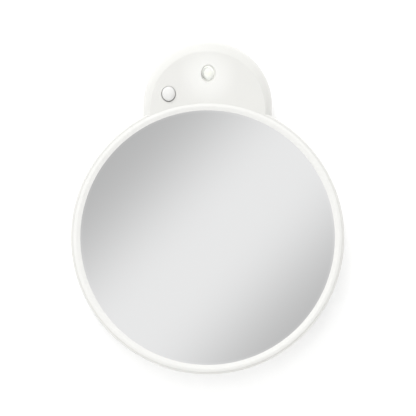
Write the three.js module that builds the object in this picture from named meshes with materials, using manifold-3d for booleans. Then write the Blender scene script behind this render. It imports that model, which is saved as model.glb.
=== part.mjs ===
// A round magnifying mirror with a lamp on its head, held to a wall by three suction cups.
// Lengths are in millimetres. +Z is up, the mirror faces -Y and the wall is the plane y = 0.
// A depth is how far something stands from the wall, so its y is minus its depth.
// The origin is where the mirror's axis meets the wall. Left is -X, as the viewer sees it.
import * as THREE from "three";
import { mergeVertices } from "three/addons/utils/BufferGeometryUtils.js";
import Module from "manifold-3d";

// Clearances and cuts
const FIT_GAP = 0.3; // between fixed pieces that touch
const RUN_GAP = 0.3; // between pieces that slide
const HOLE_GAP = 0.3; // round a screw, pin or wire in its hole
const CUT_OVERRUN = 1; // how far a cut runs past what it cuts
const WELD_DISTANCE = 0.001; // corners closer than this are one

// Head
const HEAD_RADIUS = 70;
const HEAD_LIP_WIDTH = 1.3; // the housing's front edge outside the ring
const HEAD_EDGE_ROUNDING = 0.8;
const HOUSING_WALL = 2;
const RECESS_WALL = 2; // between the ring's recess and the tab's hollow
const LEDGE_THICKNESS = 2;
const LEDGE_WIDTH = 16;

// Ring
const RING_WIDTH = 3.35;
const RING_PROUD = 1; // how far its crown stands in front of the housing
const RING_LIP_THICKNESS = 1.2;
const RING_SKIRT_THICKNESS = 1.4;
const RING_ROUNDING = 0.7;

// Glass and its foam tape
const GLASS_THICKNESS = 2;
const GLASS_CURVE_RADIUS = 600; // the mirror magnifies, so it is hollow towards the viewer
const GLASS_EDGE_GAP = 0.5;
const GLASS_BACK_GAP = 0.75; // from the battery tub to the middle of the glass
const FOAM_THICKNESS = 0.9;
const FOAM_WIDTH = 4.5;
const FOAM_SETBACK = 1.3;

// Tab: a half round over straight sides, whose sloping rim leads to a smaller flat face
const TAB_RADIUS = 33.1;
const TAB_SETBACK = 2.2; // its centre below the head's top
const RIM_WIDTH = 3.6; // of the rim at its sides
const FACE_DROP = 2.6; // the face's centre below the tab's
const FACE_THICKNESS = 2;
const RIM_DEPTH = 5.5;
const RIM_TURN_SHARE = 0.11; // of a turn, by which the rim curves from the side up to its crease
const TAB_LEG_SHARE = 1.2; // of its radius, how far its sides reach down inside the head

// Lamp and its well
const LAMP_FROM_TOP = 16.7; // of the tab
const LAMP_RADIUS = 2.75;
const LAMP_STRETCH_SHARE = 1.2; // the lamp and its well are taller than they are wide
const LAMP_DOME_HEIGHT = 1.4;
const LAMP_LENGTH = 8.6;
const LAMP_SUNK = 0.1; // its tip behind the tab's face
const LAMP_FLANGE_WIDTH = 0.4;
const LAMP_FLANGE_THICKNESS = 1;
const LEAD_THICKNESS = 0.5;
const LEAD_PITCH = 2.54;
const LEAD_SOCKET_DEPTH = 1.5;
const LEAD_TAIL = 0.8; // behind the board
const WELL_MOUTH_RADIUS = 3.95;
const WELL_FLOOR_RADIUS = 3.3;
const SPACER_WALL = 1.4;

// Push button and switch
const BUTTON_FROM_SIDE = 13.3; // of the tab
const BUTTON_RISE = 5.55; // above the tab's centre
const BUTTON_RADIUS = 3.4;
const BUTTON_HOLE_GAP = 0.35;
const BUTTON_PROUD = 1.2;
const BUTTON_DOME_HEIGHT = 1;
const BUTTON_FLANGE_WIDTH = 1.35;
const BUTTON_FLANGE_THICKNESS = 0.9;
const BUTTON_TRAVEL = 1.2;
const GUIDE_WALL = 1.2;
const GUIDE_LENGTH = 2;
const SWITCH_WIDTH = 7;
const SWITCH_FLOOR = 0.7;
const SWITCH_THICKNESS = 3.6;
const PLUNGER_RADIUS = 1.6;

// Circuit board and resistor
const BOARD_THICKNESS = 1.6;
const BOARD_BACK_SPACE = 2.4; // from the cover to the board
const BOARD_PAST_BUTTON = 6.2;
const BOARD_PAST_LAMP = 7;
const BOARD_ABOVE_LAMP = 5.6;
const BOARD_DROP = 1.8; // its bottom edge below the tab's centre
const BOARD_EDGE_GAP = 2;
const BOARD_BOSS_GAP = 0.8;
const BOARD_BOSS_RADIUS = 2.4;
const BOARD_SCREW_SHARES = { right: [-0.15, 0.404], left: [0.56, 0.95] };
const RESISTOR_SHARES = [0.354, 0.373]; // of the way across to the button, and up to the lamp
const RESISTOR_RADIUS = 1.1;
const RESISTOR_LENGTH = 5.6;
const RESISTOR_SPAN = 8;
const RESISTOR_LEAD_RADIUS = 0.3;
const RESISTOR_STEP_SHARE = 0.8; // its middle, of its ends' radius
const RESISTOR_END_SHARE = 0.28; // its ends, of half its length

// Rear cover
const COVER_THICKNESS = 2;
const COVER_EDGE_ROUNDING = 1.5;
const LIP_THICKNESS = 1.2;
const LIP_HEIGHT = 1.6;

// Battery box
const WALL_TO_DOOR = 3.4; // from the wall to the door's back
const DOOR_THICKNESS = 1.5;
const DOOR_FLANGE_THICKNESS = 1.2;
const DOOR_FLANGE_WIDTH = 2.4;
const DOOR_END_THICKNESS = 1.5;
const DOOR_OVERLAP = 1.2; // past the tub's upper wall
const GRIP_RIDGES = 5;
const GRIP_RIDGE_WIDTH = 0.8;
const GRIP_RIDGE_HEIGHT = 0.5;
const GRIP_RIDGE_LENGTH = 20;
const GRIP_PITCH = 1.9;
const RAIL_WIDTH = 2;
const RAIL_LIP_THICKNESS = 1;
const RAIL_LIP_WIDTH = 1.4;
const BOX_CORNER_RADIUS = 2;
const TUB_WALL = 1.2;
const TUB_FLOOR = 1;
const TUB_SIDE_GAP = 0.55;
const TUB_TO_RAIL = 1.15;
const CELL_RADIUS = 5.25;
const CELL_LENGTH = 44.5;
const CELL_PITCH = 11.2;
const CELL_GAP = 0.35;
const CELL_EDGE_ROUNDING = 0.6;
const NUB_RADIUS = 1.9;
const NUB_LENGTH = 1;
const CONTACT_THICKNESS = 0.4;
const CONTACT_WIDTH = 8;
const TAIL_WIDTH = 2;
const TAIL_LENGTH = 2; // outside the tub
const TAIL_GAP = 0.4;
const TAIL_SPACE = 2.6; // from the cover to a tail
const SPRING_LENGTH = 5;
const SPRING_BASE_RADIUS = 4;
const SPRING_TIP_RADIUS = 2.4;
const SPRING_WIRE_RADIUS = 0.35;
const SPRING_TURNS = 3;
const WIRE_RADIUS = 0.6;
const WIRE_PITCH = 2.2;
const WIRE_PAD_GAP = 5.1; // from the button's axis
const WIRE_ON_BOARD = 3;
const WIRE_KNEE_SHARES = [0.6, 0.94]; // of the height of the board's bottom edge

// Screws that close the housing, and screws that hold the board
const HOUSING_SCREW = {
  headRadius: 2.5, headThickness: 1.5, radius: 1.3, length: 6.2, tip: 0.6, slotWidth: 0.7,
};
const BOARD_SCREW = {
  headRadius: 1.9, headThickness: 1.2, radius: 1, length: 4.4, tip: 0.5, slotWidth: 0.5,
};
const SCREW_SUNK = 0.3; // a housing screw's head behind the cover's back
const SCREW_FLOOR = 1.5; // cover left under a housing screw's head
const SCREW_BOSS_RADIUS = 3.2;
const RIM_BOSS_SHARE = 0.2; // of the face's thickness, that a tab screw's boss reaches into
const SCREW_INSET = 6.5; // from the edge of the head or the tab
const TAB_SCREW_SHARE = 0.0917; // of a turn, from the tab's top
const CROWN_SHARE = 0.35; // of a screw head's thickness
const SLOT_DEPTH_SHARE = 0.6; // of a screw head's thickness
const SLOT_LENGTH_SHARE = 1.3; // of a screw head's radius

// Suction cups
const CUP_NAMES = ["top", "left", "right"];
const CUP_EDGE_GAP = 2; // from a cup to the head's edge
const CUP_BOX_GAP = 1.1; // from a lower cup to the battery box's corner
const CUP_NECK_RADIUS = 3.2;
const CUP_HEAD_RADIUS = 5;
const CUP_HEAD_THICKNESS = 2.5;
const KEYHOLE_GAP = 0.45;
const KEYHOLE_DROP = 10.5;
const BELL_SHARES = [
  [0.3, 1], [0.34, 0.9], [0.43, 0.8], [0.6, 0.65], [0.78, 0.47], [0.93, 0.27], [1, 0.09], [1, 0],
]; // of the cup's radius, and of the bell's height
const HOLLOW_SHARES = [[0.92, 0], [0.84, 0.2], [0.66, 0.36], [0.45, 0.48], [0.22, 0.55], [0, 0.57]];
const HEAD_TAPER_SHARES = [0.7, 0.6]; // of the head's radius, and of its thickness

// How finely the round shapes are cut
const HEAD_SIDES = 72;
const GLASS_STEPS = 5;
const TAB_SIDES = 28;
const ROUNDING_STEPS = 2;
const RIM_STEPS = 5;
const CUP_SIDES = 28;
const PIN_SIDES = 14;
const WELL_SIDES = 20;
const SPRING_STEPS = 8;
const SPRING_SIDES = 5;
const WIRE_SIDES = 8;
const WIRE_STEPS = 26;

// Materials
const plastic = (color) => new THREE.MeshStandardMaterial({ color, roughness: 0.35 });
const metal = (color) => new THREE.MeshStandardMaterial({ color, roughness: 0.3, metalness: 1 });
const WHITE = plastic(0xf6f5f1);
const RING_WHITE = plastic(0xf8f7f4);
const MIRROR = new THREE.MeshStandardMaterial({ color: 0xd0d0d2, roughness: 0.03, metalness: 1 });
const FOAM = new THREE.MeshStandardMaterial({ color: 0xe8e6df, roughness: 0.95 });
const LAMP_LENS = new THREE.MeshStandardMaterial({ color: 0xfdfff4, emissive: 0xfafcf0 });
const CLEAR_RUBBER = new THREE.MeshStandardMaterial({ color: 0xd9dee0, roughness: 0.2 });
const BOARD_GREEN = plastic(0x2e6b3c);
const DARK_PLASTIC = plastic(0x2b2b2d);
const CELL_JACKET = plastic(0x4a4d52);
const RESISTOR_TAN = plastic(0xc9a878);
const STEEL = metal(0xb9bbbd);
const NICKEL = metal(0xc8c6c0);
const RED = plastic(0xb3241f);
const BLACK = plastic(0x1c1c1e);

// Depths from the wall to the viewer, each worked out from the last
const sag = (radius) => GLASS_CURVE_RADIUS - Math.sqrt(GLASS_CURVE_RADIUS ** 2 - radius ** 2);
const ringOuterRadius = HEAD_RADIUS - HEAD_LIP_WIDTH - FIT_GAP;
const windowRadius = ringOuterRadius - RING_WIDTH;
const ringSkirtRadius = ringOuterRadius - RING_SKIRT_THICKNESS;
const glassRadius = ringSkirtRadius - GLASS_EDGE_GAP;
const foamOuterRadius = glassRadius - FOAM_SETBACK;
const foamInnerRadius = foamOuterRadius - FOAM_WIDTH;
const doorInnerDepth = WALL_TO_DOOR + DOOR_THICKNESS;
const cellDepth = doorInnerDepth + CELL_GAP + CELL_RADIUS;
const tubFloorDepth = cellDepth + CELL_RADIUS + FIT_GAP;
const tubFrontDepth = tubFloorDepth + TUB_FLOOR;
const glassBackDepth = (radius) => tubFrontDepth + GLASS_BACK_GAP + sag(radius);
const ringLipDepth = glassBackDepth(glassRadius) + GLASS_THICKNESS + FIT_GAP;
const ringFrontDepth = ringLipDepth + RING_LIP_THICKNESS;
const faceDepth = ringFrontDepth - RING_PROUD;
const faceInnerDepth = faceDepth - FACE_THICKNESS;
const foamBackDepth = glassBackDepth(foamInnerRadius) - FIT_GAP - FOAM_THICKNESS;
const ledgeDepth = foamBackDepth - FIT_GAP;
const ledgeBackDepth = ledgeDepth - LEDGE_THICKNESS;
const lampTipDepth = faceDepth - LAMP_SUNK;
const lampBaseDepth = lampTipDepth - LAMP_LENGTH;
const boardFrontDepth = lampBaseDepth - FIT_GAP;
const boardBackDepth = boardFrontDepth - BOARD_THICKNESS;
const coverFrontDepth = boardBackDepth - BOARD_BACK_SPACE;
const coverBackDepth = coverFrontDepth - COVER_THICKNESS;
const housingBackDepth = coverFrontDepth + FIT_GAP;
const lipFrontDepth = coverFrontDepth + LIP_HEIGHT;
const cavityRadius = HEAD_RADIUS - HOUSING_WALL;

// Places on the tab
const tabHeight = HEAD_RADIUS - TAB_SETBACK;
const lampHeight = tabHeight + TAB_RADIUS - LAMP_FROM_TOP;
const buttonX = BUTTON_FROM_SIDE - TAB_RADIUS;
const buttonHeight = tabHeight + BUTTON_RISE;
const boardBottom = tabHeight - BOARD_DROP;
const between = ([acrossShare, upShare]) =>
  [buttonX * acrossShare, tabHeight + (lampHeight - tabHeight) * upShare];
const boardScrews = { left: between(BOARD_SCREW_SHARES.left), right: between(BOARD_SCREW_SHARES.right) };
const resistorPlace = between(RESISTOR_SHARES);

// The point [x, z] on a circle round (0, height), a share of a turn from +X
function onCircle(radius, height, turnShare) {
  const angle = turnShare * Math.PI * 2;
  return [radius * Math.cos(angle), height + radius * Math.sin(angle)];
}

const UP_SHARE = 1 / 4; // of a turn, from +X to the top
const screwCircle = HEAD_RADIUS - SCREW_INSET;
const tabScrewCircle = TAB_RADIUS - SCREW_INSET;
const housingScrewPlaces = {
  tab_left: onCircle(tabScrewCircle, tabHeight, UP_SHARE + TAB_SCREW_SHARE),
  tab_right: onCircle(tabScrewCircle, tabHeight, UP_SHARE - TAB_SCREW_SHARE),
  left: [-screwCircle, 0],
  right: [screwCircle, 0],
  bottom: [0, -screwCircle],
};

// Joins and cuts
const wasm = await Module();
wasm.setup();

function solidOf(geometry) {
  const bare = geometry.index ? geometry.toNonIndexed() : geometry;
  bare.deleteAttribute("normal");
  bare.deleteAttribute("uv");
  const welded = mergeVertices(bare, WELD_DISTANCE);
  return new wasm.Manifold(
    new wasm.Mesh({
      numProp: 3,
      vertProperties: welded.attributes.position.array,
      triVerts: new Uint32Array(welded.index.array),
    }),
  );
}

function meshOf(name, solid, material) {
  const { vertProperties, triVerts } = solid.getMesh();
  const geometry = new THREE.BufferGeometry();
  geometry.setAttribute("position", new THREE.BufferAttribute(vertProperties, 3));
  geometry.setIndex(new THREE.BufferAttribute(triVerts, 1));
  const faceted = geometry.toNonIndexed();
  faceted.computeVertexNormals();
  const mesh = new THREE.Mesh(faceted, material);
  mesh.name = name;
  return mesh;
}

const joined = (first, ...others) => others.reduce((all, other) => all.add(other), first);
const cut = (whole, ...tools) => tools.reduce((left, tool) => left.subtract(tool), whole);

// Turned about the depth axis from points [radius, depth] that start and end on the axis.
function turned(points, sides) {
  const outline = points.map(([radius, depth]) => new THREE.Vector2(radius, -depth));
  if (THREE.ShapeUtils.area(outline) < 0) outline.reverse();
  return solidOf(new THREE.LatheGeometry(outline, sides));
}

const turnedRing = (points, sides) => turned([...points, points[0]], sides);

// A round bar along the depth, centred on [x, z].
function rod(radius, backDepth, frontDepth, [x, z], sides = PIN_SIDES) {
  const bar = new THREE.CylinderGeometry(radius, radius, frontDepth - backDepth, sides);
  return solidOf(bar.translate(x, -(backDepth + frontDepth) / 2, z));
}

const AXIS = [0, 0];

function tube(outerRadius, innerRadius, backDepth, frontDepth, place) {
  const bore = rod(innerRadius, backDepth - CUT_OVERRUN, frontDepth + CUT_OVERRUN, place);
  return cut(rod(outerRadius, backDepth, frontDepth, place), bore);
}

// A block between two corners [x, depth, z].
function block([left, back, bottom], [right, front, top]) {
  const box = new THREE.BoxGeometry(right - left, front - back, top - bottom);
  return solidOf(box.translate((left + right) / 2, -(back + front) / 2, (bottom + top) / 2));
}

// A slab of a shape drawn in x and z, from one depth to another.
function slab(shape, backDepth, frontDepth) {
  const options = { depth: frontDepth - backDepth, bevelEnabled: false, curveSegments: ROUNDING_STEPS };
  const body = new THREE.ExtrudeGeometry(shape, options);
  return solidOf(body.rotateX(Math.PI / 2).translate(0, -backDepth, 0));
}

function roundedRectangle(left, right, bottom, top, radius) {
  const shape = new THREE.Shape();
  shape.absarc(right - radius, bottom + radius, radius, -Math.PI / 2, 0);
  shape.absarc(right - radius, top - radius, radius, 0, Math.PI / 2);
  shape.absarc(left + radius, top - radius, radius, Math.PI / 2, Math.PI);
  shape.absarc(left + radius, bottom + radius, radius, Math.PI, Math.PI * 1.5);
  return shape;
}

// A round tube along a smooth path through points.
function tubeAlong(points, radius, sides, steps) {
  const section = new THREE.Shape();
  for (let side = 0; side < sides; side++) {
    const angle = (side / sides) * Math.PI * 2;
    section[side ? "lineTo" : "moveTo"](radius * Math.cos(angle), radius * Math.sin(angle));
  }
  const path = new THREE.CatmullRomCurve3(points, false, "centripetal");
  return solidOf(new THREE.ExtrudeGeometry(section, { steps, extrudePath: path }));
}

// The tab's body through levels { depth, radius, height }, from back to front.
function tabBody(levels) {
  const halfRound = new THREE.Shape();
  halfRound.moveTo(-1, -TAB_LEG_SHARE);
  halfRound.lineTo(1, -TAB_LEG_SHARE);
  halfRound.absarc(0, 0, 1, 0, Math.PI);
  const steps = levels.length - 1;
  const options = { depth: 1, steps, bevelEnabled: false, curveSegments: TAB_SIDES };
  const body = new THREE.ExtrudeGeometry(halfRound, options);
  const corner = body.attributes.position;
  for (let i = 0; i < corner.count; i++) {
    const { depth, radius, height } = levels[Math.round(corner.getZ(i) * steps)];
    corner.setXYZ(i, corner.getX(i) * radius, -depth, corner.getY(i) * radius + height);
  }
  return solidOf(body);
}

// The tab's straight body up to where its rim starts to curve.
function straightTab(inset, backDepth, frontDepth) {
  const radius = TAB_RADIUS - inset;
  return tabBody([
    { depth: backDepth, radius, height: tabHeight },
    { depth: frontDepth, radius, height: tabHeight },
  ]);
}

// The tab with its rim, which curves in from the side and meets the flat face at a crease.
function rimmedTab(inset, backDepth, frontDepth) {
  const levels = [{ depth: backDepth, radius: TAB_RADIUS - inset, height: tabHeight }];
  const fullTurn = RIM_TURN_SHARE * Math.PI * 2;
  for (let step = 0; step <= RIM_STEPS; step++) {
    const turn = (step / RIM_STEPS) * fullTurn;
    const upShare = Math.sin(turn) / Math.sin(fullTurn);
    const inShare = (1 - Math.cos(turn)) / (1 - Math.cos(fullTurn));
    levels.push({
      depth: frontDepth - RIM_DEPTH * (1 - upShare),
      radius: TAB_RADIUS - RIM_WIDTH * inShare - inset,
      height: tabHeight - FACE_DROP * inShare,
    });
  }
  return tabBody(levels);
}

// Points [radius, depth] of a quarter round between a side and a front, from the side on.
function quarterRound(radius, depth, rounding, towardsFront) {
  const points = [];
  for (let step = 0; step <= ROUNDING_STEPS; step++) {
    const turn = (step / ROUNDING_STEPS) * (Math.PI / 2);
    const inward = rounding * (1 - Math.cos(turn));
    const short = rounding * (1 - Math.sin(turn));
    points.push([radius - inward, towardsFront ? depth - short : depth + short]);
  }
  return points;
}

// Screw, drawn with the underside of its head at depth 0 and its tip towards the viewer
function screw({ headRadius, headThickness, radius, length, tip, slotWidth }) {
  const crown = headThickness * CROWN_SHARE;
  const body = turned([
    [0, -headThickness],
    [headRadius - crown, -headThickness],
    [headRadius, crown - headThickness],
    [headRadius, 0],
    [radius, 0],
    [radius, length - tip],
    [radius - tip, length],
    [0, length],
  ], PIN_SIDES);
  const reach = headRadius * SLOT_LENGTH_SHARE / 2;
  const half = slotWidth / 2;
  const top = -headThickness - CUT_OVERRUN;
  const floor = headThickness * (SLOT_DEPTH_SHARE - 1);
  return cut(
    body,
    block([-reach, top, -half], [reach, floor, half]),
    block([-half, top, -reach], [half, floor, reach]),
  );
}

const housingScrewDepth = coverBackDepth + SCREW_SUNK + HOUSING_SCREW.headThickness;
const screwSeatDepth = housingScrewDepth + FIT_GAP;
const screwPadDepth = screwSeatDepth + SCREW_FLOOR;
const screwPadRadius = HOUSING_SCREW.headRadius + HOLE_GAP + LIP_THICKNESS / 2;
const bossDepth = screwPadDepth + FIT_GAP;
const boardBossDepth = boardFrontDepth + FIT_GAP;
const boardScrewDepth = boardBackDepth - FIT_GAP;

// Front housing: head and tab in one shell
function housingShell() {
  const rounded = quarterRound(HEAD_RADIUS, faceDepth, HEAD_EDGE_ROUNDING, true);
  const head = turned([[0, housingBackDepth], [HEAD_RADIUS, housingBackDepth], ...rounded, [0, faceDepth]],
    HEAD_SIDES);
  const outside = head.add(rimmedTab(0, housingBackDepth, faceDepth));
  const back = housingBackDepth - CUT_OVERRUN;
  const front = faceDepth + CUT_OVERRUN;
  const recessRadius = HEAD_RADIUS - HEAD_LIP_WIDTH;
  const recessWall = rod(recessRadius + RECESS_WALL, ledgeBackDepth, front, AXIS, HEAD_SIDES);
  return cut(
    outside,
    rod(recessRadius, ledgeDepth, front, AXIS, HEAD_SIDES),
    rod(cavityRadius - LEDGE_WIDTH, back, front, AXIS, HEAD_SIDES),
    rod(cavityRadius, back, ledgeBackDepth, AXIS, HEAD_SIDES),
    cut(rimmedTab(HOUSING_WALL, back, faceInnerDepth), recessWall),
  );
}

function lampWell() {
  const slope = (WELL_MOUTH_RADIUS - WELL_FLOOR_RADIUS) / FACE_THICKNESS;
  const mouth = WELL_MOUTH_RADIUS + slope * CUT_OVERRUN;
  const floor = WELL_FLOOR_RADIUS - slope * CUT_OVERRUN;
  const height = FACE_THICKNESS + CUT_OVERRUN * 2;
  const cone = new THREE.CylinderGeometry(floor, mouth, height, WELL_SIDES);
  cone.scale(1, 1, LAMP_STRETCH_SHARE);
  return solidOf(cone.translate(0, -(faceDepth - FACE_THICKNESS / 2), lampHeight));
}

function frontHousing() {
  const buttonPlace = [buttonX, buttonHeight];
  const guideRadius = BUTTON_RADIUS + BUTTON_FLANGE_WIDTH + RUN_GAP;
  const holeRadius = BUTTON_RADIUS + BUTTON_HOLE_GAP;
  const inFace = faceInnerDepth + FACE_THICKNESS / 2;
  const inRim = faceInnerDepth + FACE_THICKNESS * RIM_BOSS_SHARE;
  const inLedge = ledgeBackDepth + LEDGE_THICKNESS / 2;
  const additions = [
    tube(guideRadius + GUIDE_WALL, guideRadius, faceInnerDepth - GUIDE_LENGTH, inFace, buttonPlace),
  ];
  const holes = [
    lampWell(),
    rod(holeRadius, faceInnerDepth - CUT_OVERRUN, faceDepth + CUT_OVERRUN, buttonPlace, WELL_SIDES),
  ];
  const screwTip = housingScrewDepth + HOUSING_SCREW.length + FIT_GAP;
  for (const place of Object.values(housingScrewPlaces)) {
    const onTab = place[1] > HEAD_RADIUS;
    additions.push(rod(SCREW_BOSS_RADIUS, bossDepth, onTab ? inRim : inLedge, place));
    holes.push(rod(HOUSING_SCREW.radius + HOLE_GAP, bossDepth - CUT_OVERRUN, screwTip, place));
  }
  const boardScrewTip = boardScrewDepth + BOARD_SCREW.length + FIT_GAP;
  for (const place of Object.values(boardScrews)) {
    additions.push(rod(BOARD_BOSS_RADIUS, boardBossDepth, inFace, place));
    holes.push(rod(BOARD_SCREW.radius + HOLE_GAP, boardBossDepth - CUT_OVERRUN, boardScrewTip, place));
  }
  return cut(joined(housingShell(), ...additions), ...holes);
}

// Ring, glass and foam
function bezelRing() {
  const inner = quarterRound(0, ringFrontDepth, RING_ROUNDING, true)
    .map(([inward, depth]) => [windowRadius - inward, depth]);
  const outer = quarterRound(ringOuterRadius, ringFrontDepth, RING_ROUNDING, true);
  return turnedRing([
    [windowRadius, ringLipDepth],
    ...inner,
    ...outer.reverse(),
    [ringOuterRadius, ledgeDepth + FIT_GAP],
    [ringSkirtRadius, ledgeDepth + FIT_GAP],
    [ringSkirtRadius, ringLipDepth],
  ], HEAD_SIDES);
}

function mirrorGlass() {
  const back = [];
  for (let step = 0; step <= GLASS_STEPS; step++) {
    const radius = (step / GLASS_STEPS) * glassRadius;
    back.push([radius, glassBackDepth(radius)]);
  }
  const front = back.map(([radius, depth]) => [radius, depth + GLASS_THICKNESS]);
  return turned([...back, ...front.reverse()], HEAD_SIDES);
}

function foamTapeRing() {
  return turnedRing([
    [foamInnerRadius, foamBackDepth],
    [foamOuterRadius, foamBackDepth],
    [foamOuterRadius, glassBackDepth(foamOuterRadius) - FIT_GAP],
    [foamInnerRadius, glassBackDepth(foamInnerRadius) - FIT_GAP],
  ], HEAD_SIDES);
}

// Battery box: the cells lie across the head, the door slides down between two rails
const contactDepth = FIT_GAP + CONTACT_THICKNESS; // from the tub's end wall to a contact's face
const bayHalfLength = contactDepth + (CELL_LENGTH + SPRING_LENGTH + FIT_GAP * 3) / 2;
const bayHalfHeight = CELL_PITCH / 2 + CELL_RADIUS + TUB_SIDE_GAP;
const cellShift = bayHalfLength - contactDepth - FIT_GAP - CELL_LENGTH / 2;
const tubHalfLength = bayHalfLength + TUB_WALL;
const tubHalfHeight = bayHalfHeight + TUB_WALL;
const flangeBackDepth = WALL_TO_DOOR + RAIL_LIP_THICKNESS + RUN_GAP;
const flangeFrontDepth = flangeBackDepth + DOOR_FLANGE_THICKNESS;
const plinthDepth = flangeFrontDepth + RUN_GAP;
const railInnerX = tubHalfLength + TUB_TO_RAIL;
const railOuterX = railInnerX + RAIL_WIDTH;
const doorEdgeX = railInnerX - RUN_GAP;
const panelEdgeX = railInnerX - RAIL_LIP_WIDTH - RUN_GAP;
const flangeInnerX = doorEdgeX - DOOR_FLANGE_WIDTH;
const boxBottom = -tubHalfHeight - FIT_GAP;
const doorTop = tubHalfHeight + DOOR_OVERLAP;
const stopBottom = doorTop + FIT_GAP;
const boxTop = stopBottom + RAIL_WIDTH;
const doorBottom = boxBottom - RUN_GAP - DOOR_END_THICKNESS;

function batteryBox() {
  const inCover = coverBackDepth + COVER_THICKNESS / 2;
  const outline = roundedRectangle(-railOuterX, railOuterX, boxBottom, boxTop, BOX_CORNER_RADIUS);
  const under = doorInnerDepth + RUN_GAP;
  const body = cut(
    slab(outline, WALL_TO_DOOR, inCover),
    block(
      [-railInnerX, WALL_TO_DOOR + RAIL_LIP_THICKNESS, boxBottom - CUT_OVERRUN],
      [railInnerX, plinthDepth, stopBottom],
    ),
    block(
      [RAIL_LIP_WIDTH - railInnerX, WALL_TO_DOOR - CUT_OVERRUN, boxBottom - CUT_OVERRUN],
      [railInnerX - RAIL_LIP_WIDTH, plinthDepth, stopBottom],
    ),
  );
  const collarX = flangeInnerX - RUN_GAP;
  const collar = joined(
    block([-tubHalfLength, plinthDepth, -tubHalfHeight], [tubHalfLength, inCover, tubHalfHeight]),
    block([-collarX, under, -tubHalfHeight], [collarX, inCover, tubHalfHeight]),
  );
  const tub = block(
    [-tubHalfLength, coverFrontDepth - COVER_THICKNESS / 2, -tubHalfHeight],
    [tubHalfLength, tubFrontDepth, tubHalfHeight],
  );
  return joined(body, collar, tub);
}

const tailInnerDepth = coverFrontDepth + TAIL_SPACE;
const tailFrontDepth = tailInnerDepth + CONTACT_THICKNESS;
const tailHeight = (CONTACT_WIDTH - TAIL_WIDTH) / 2;

function tailSlots() {
  return [-1, 1].map((side) => block(
    [-tubHalfLength - CUT_OVERRUN, tailInnerDepth - TAIL_GAP,
      side * (CELL_PITCH / 2 + tailHeight) - TAIL_WIDTH / 2 - TAIL_GAP],
    [-bayHalfLength + CUT_OVERRUN, tailFrontDepth + TAIL_GAP,
      side * (CELL_PITCH / 2 + tailHeight) + TAIL_WIDTH / 2 + TAIL_GAP],
  ));
}

function batteryDoor() {
  const panel = block([-panelEdgeX, WALL_TO_DOOR, doorBottom], [panelEdgeX, doorInnerDepth, doorTop]);
  const flanges = [-1, 1].map((side) => block(
    [side < 0 ? -doorEdgeX : flangeInnerX, flangeBackDepth, boxBottom],
    [side < 0 ? -flangeInnerX : doorEdgeX, flangeFrontDepth, doorTop],
  ));
  const end = block(
    [-doorEdgeX, WALL_TO_DOOR, doorBottom],
    [doorEdgeX, coverBackDepth - RUN_GAP, doorBottom + DOOR_END_THICKNESS],
  );
  const ridges = [];
  for (let ridge = 1; ridge <= GRIP_RIDGES; ridge++) {
    const bottom = doorBottom + ridge * GRIP_PITCH;
    ridges.push(block(
      [-GRIP_RIDGE_LENGTH / 2, WALL_TO_DOOR - GRIP_RIDGE_HEIGHT, bottom],
      [GRIP_RIDGE_LENGTH / 2, WALL_TO_DOOR + DOOR_THICKNESS / 2, bottom + GRIP_RIDGE_WIDTH],
    ));
  }
  return joined(panel, ...flanges, end, ...ridges);
}

// Cell, drawn along the depth with its middle at depth 0 and its nub at the front
function batteryCell() {
  const nubFront = CELL_LENGTH / 2;
  const canFront = nubFront - NUB_LENGTH;
  return turned([
    [0, -nubFront],
    [CELL_RADIUS - CELL_EDGE_ROUNDING, -nubFront],
    [CELL_RADIUS, CELL_EDGE_ROUNDING - nubFront],
    [CELL_RADIUS, canFront - CELL_EDGE_ROUNDING],
    [CELL_RADIUS - CELL_EDGE_ROUNDING, canFront],
    [NUB_RADIUS, canFront],
    [NUB_RADIUS, nubFront],
    [0, nubFront],
  ], WELL_SIDES);
}

// A contact sheet against the tub's left end, at one cell, with its tail through the tub's wall
function leftContact(side, tailLength) {
  const outerX = FIT_GAP - bayHalfLength;
  const middle = side * CELL_PITCH / 2;
  const tailMiddle = middle + side * tailHeight;
  const half = CONTACT_WIDTH / 2;
  return joined(
    block(
      [outerX, cellDepth - half, middle - half],
      [outerX + CONTACT_THICKNESS, tailFrontDepth, middle + half],
    ),
    block(
      [-tubHalfLength - tailLength, tailInnerDepth, tailMiddle - TAIL_WIDTH / 2],
      [outerX + CONTACT_THICKNESS, tailFrontDepth, tailMiddle + TAIL_WIDTH / 2],
    ),
  );
}

function bridgeContact() {
  const outerX = bayHalfLength - FIT_GAP;
  const half = CONTACT_WIDTH / 2;
  const reach = CELL_PITCH / 2 + half;
  return block(
    [outerX - CONTACT_THICKNESS, cellDepth - half, -reach],
    [outerX, cellDepth + half, reach],
  );
}

// Spring points along +X from its wide base, with a straight end of one wire diameter at each end
function springPoints() {
  const straight = SPRING_WIRE_RADIUS * 2;
  const points = [new THREE.Vector3(0, SPRING_BASE_RADIUS, 0)];
  const turns = SPRING_TURNS * SPRING_STEPS;
  for (let step = 0; step <= turns; step++) {
    const along = step / turns;
    const radius = SPRING_BASE_RADIUS + (SPRING_TIP_RADIUS - SPRING_BASE_RADIUS) * along;
    const angle = (step / SPRING_STEPS) * Math.PI * 2;
    const x = straight + along * (SPRING_LENGTH - straight * 2);
    points.push(new THREE.Vector3(x, radius * Math.cos(angle), radius * Math.sin(angle)));
  }
  points.push(new THREE.Vector3(SPRING_LENGTH, SPRING_TIP_RADIUS, 0));
  return points;
}

// The least gap between turns of a tube, between points that lie half a turn or more apart.
function leastGap(points, tubeRadius) {
  let least = Infinity;
  points.forEach((point, i) => {
    for (const other of points.slice(i + SPRING_STEPS / 2)) {
      least = Math.min(least, point.distanceTo(other) - tubeRadius * 2);
    }
  });
  return least;
}

function contactSpring() {
  const points = springPoints();
  console.log("contact spring, least gap to itself:", leastGap(points, SPRING_WIRE_RADIUS).toFixed(2));
  return tubeAlong(points, SPRING_WIRE_RADIUS, SPRING_SIDES, points.length - 1);
}

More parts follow.
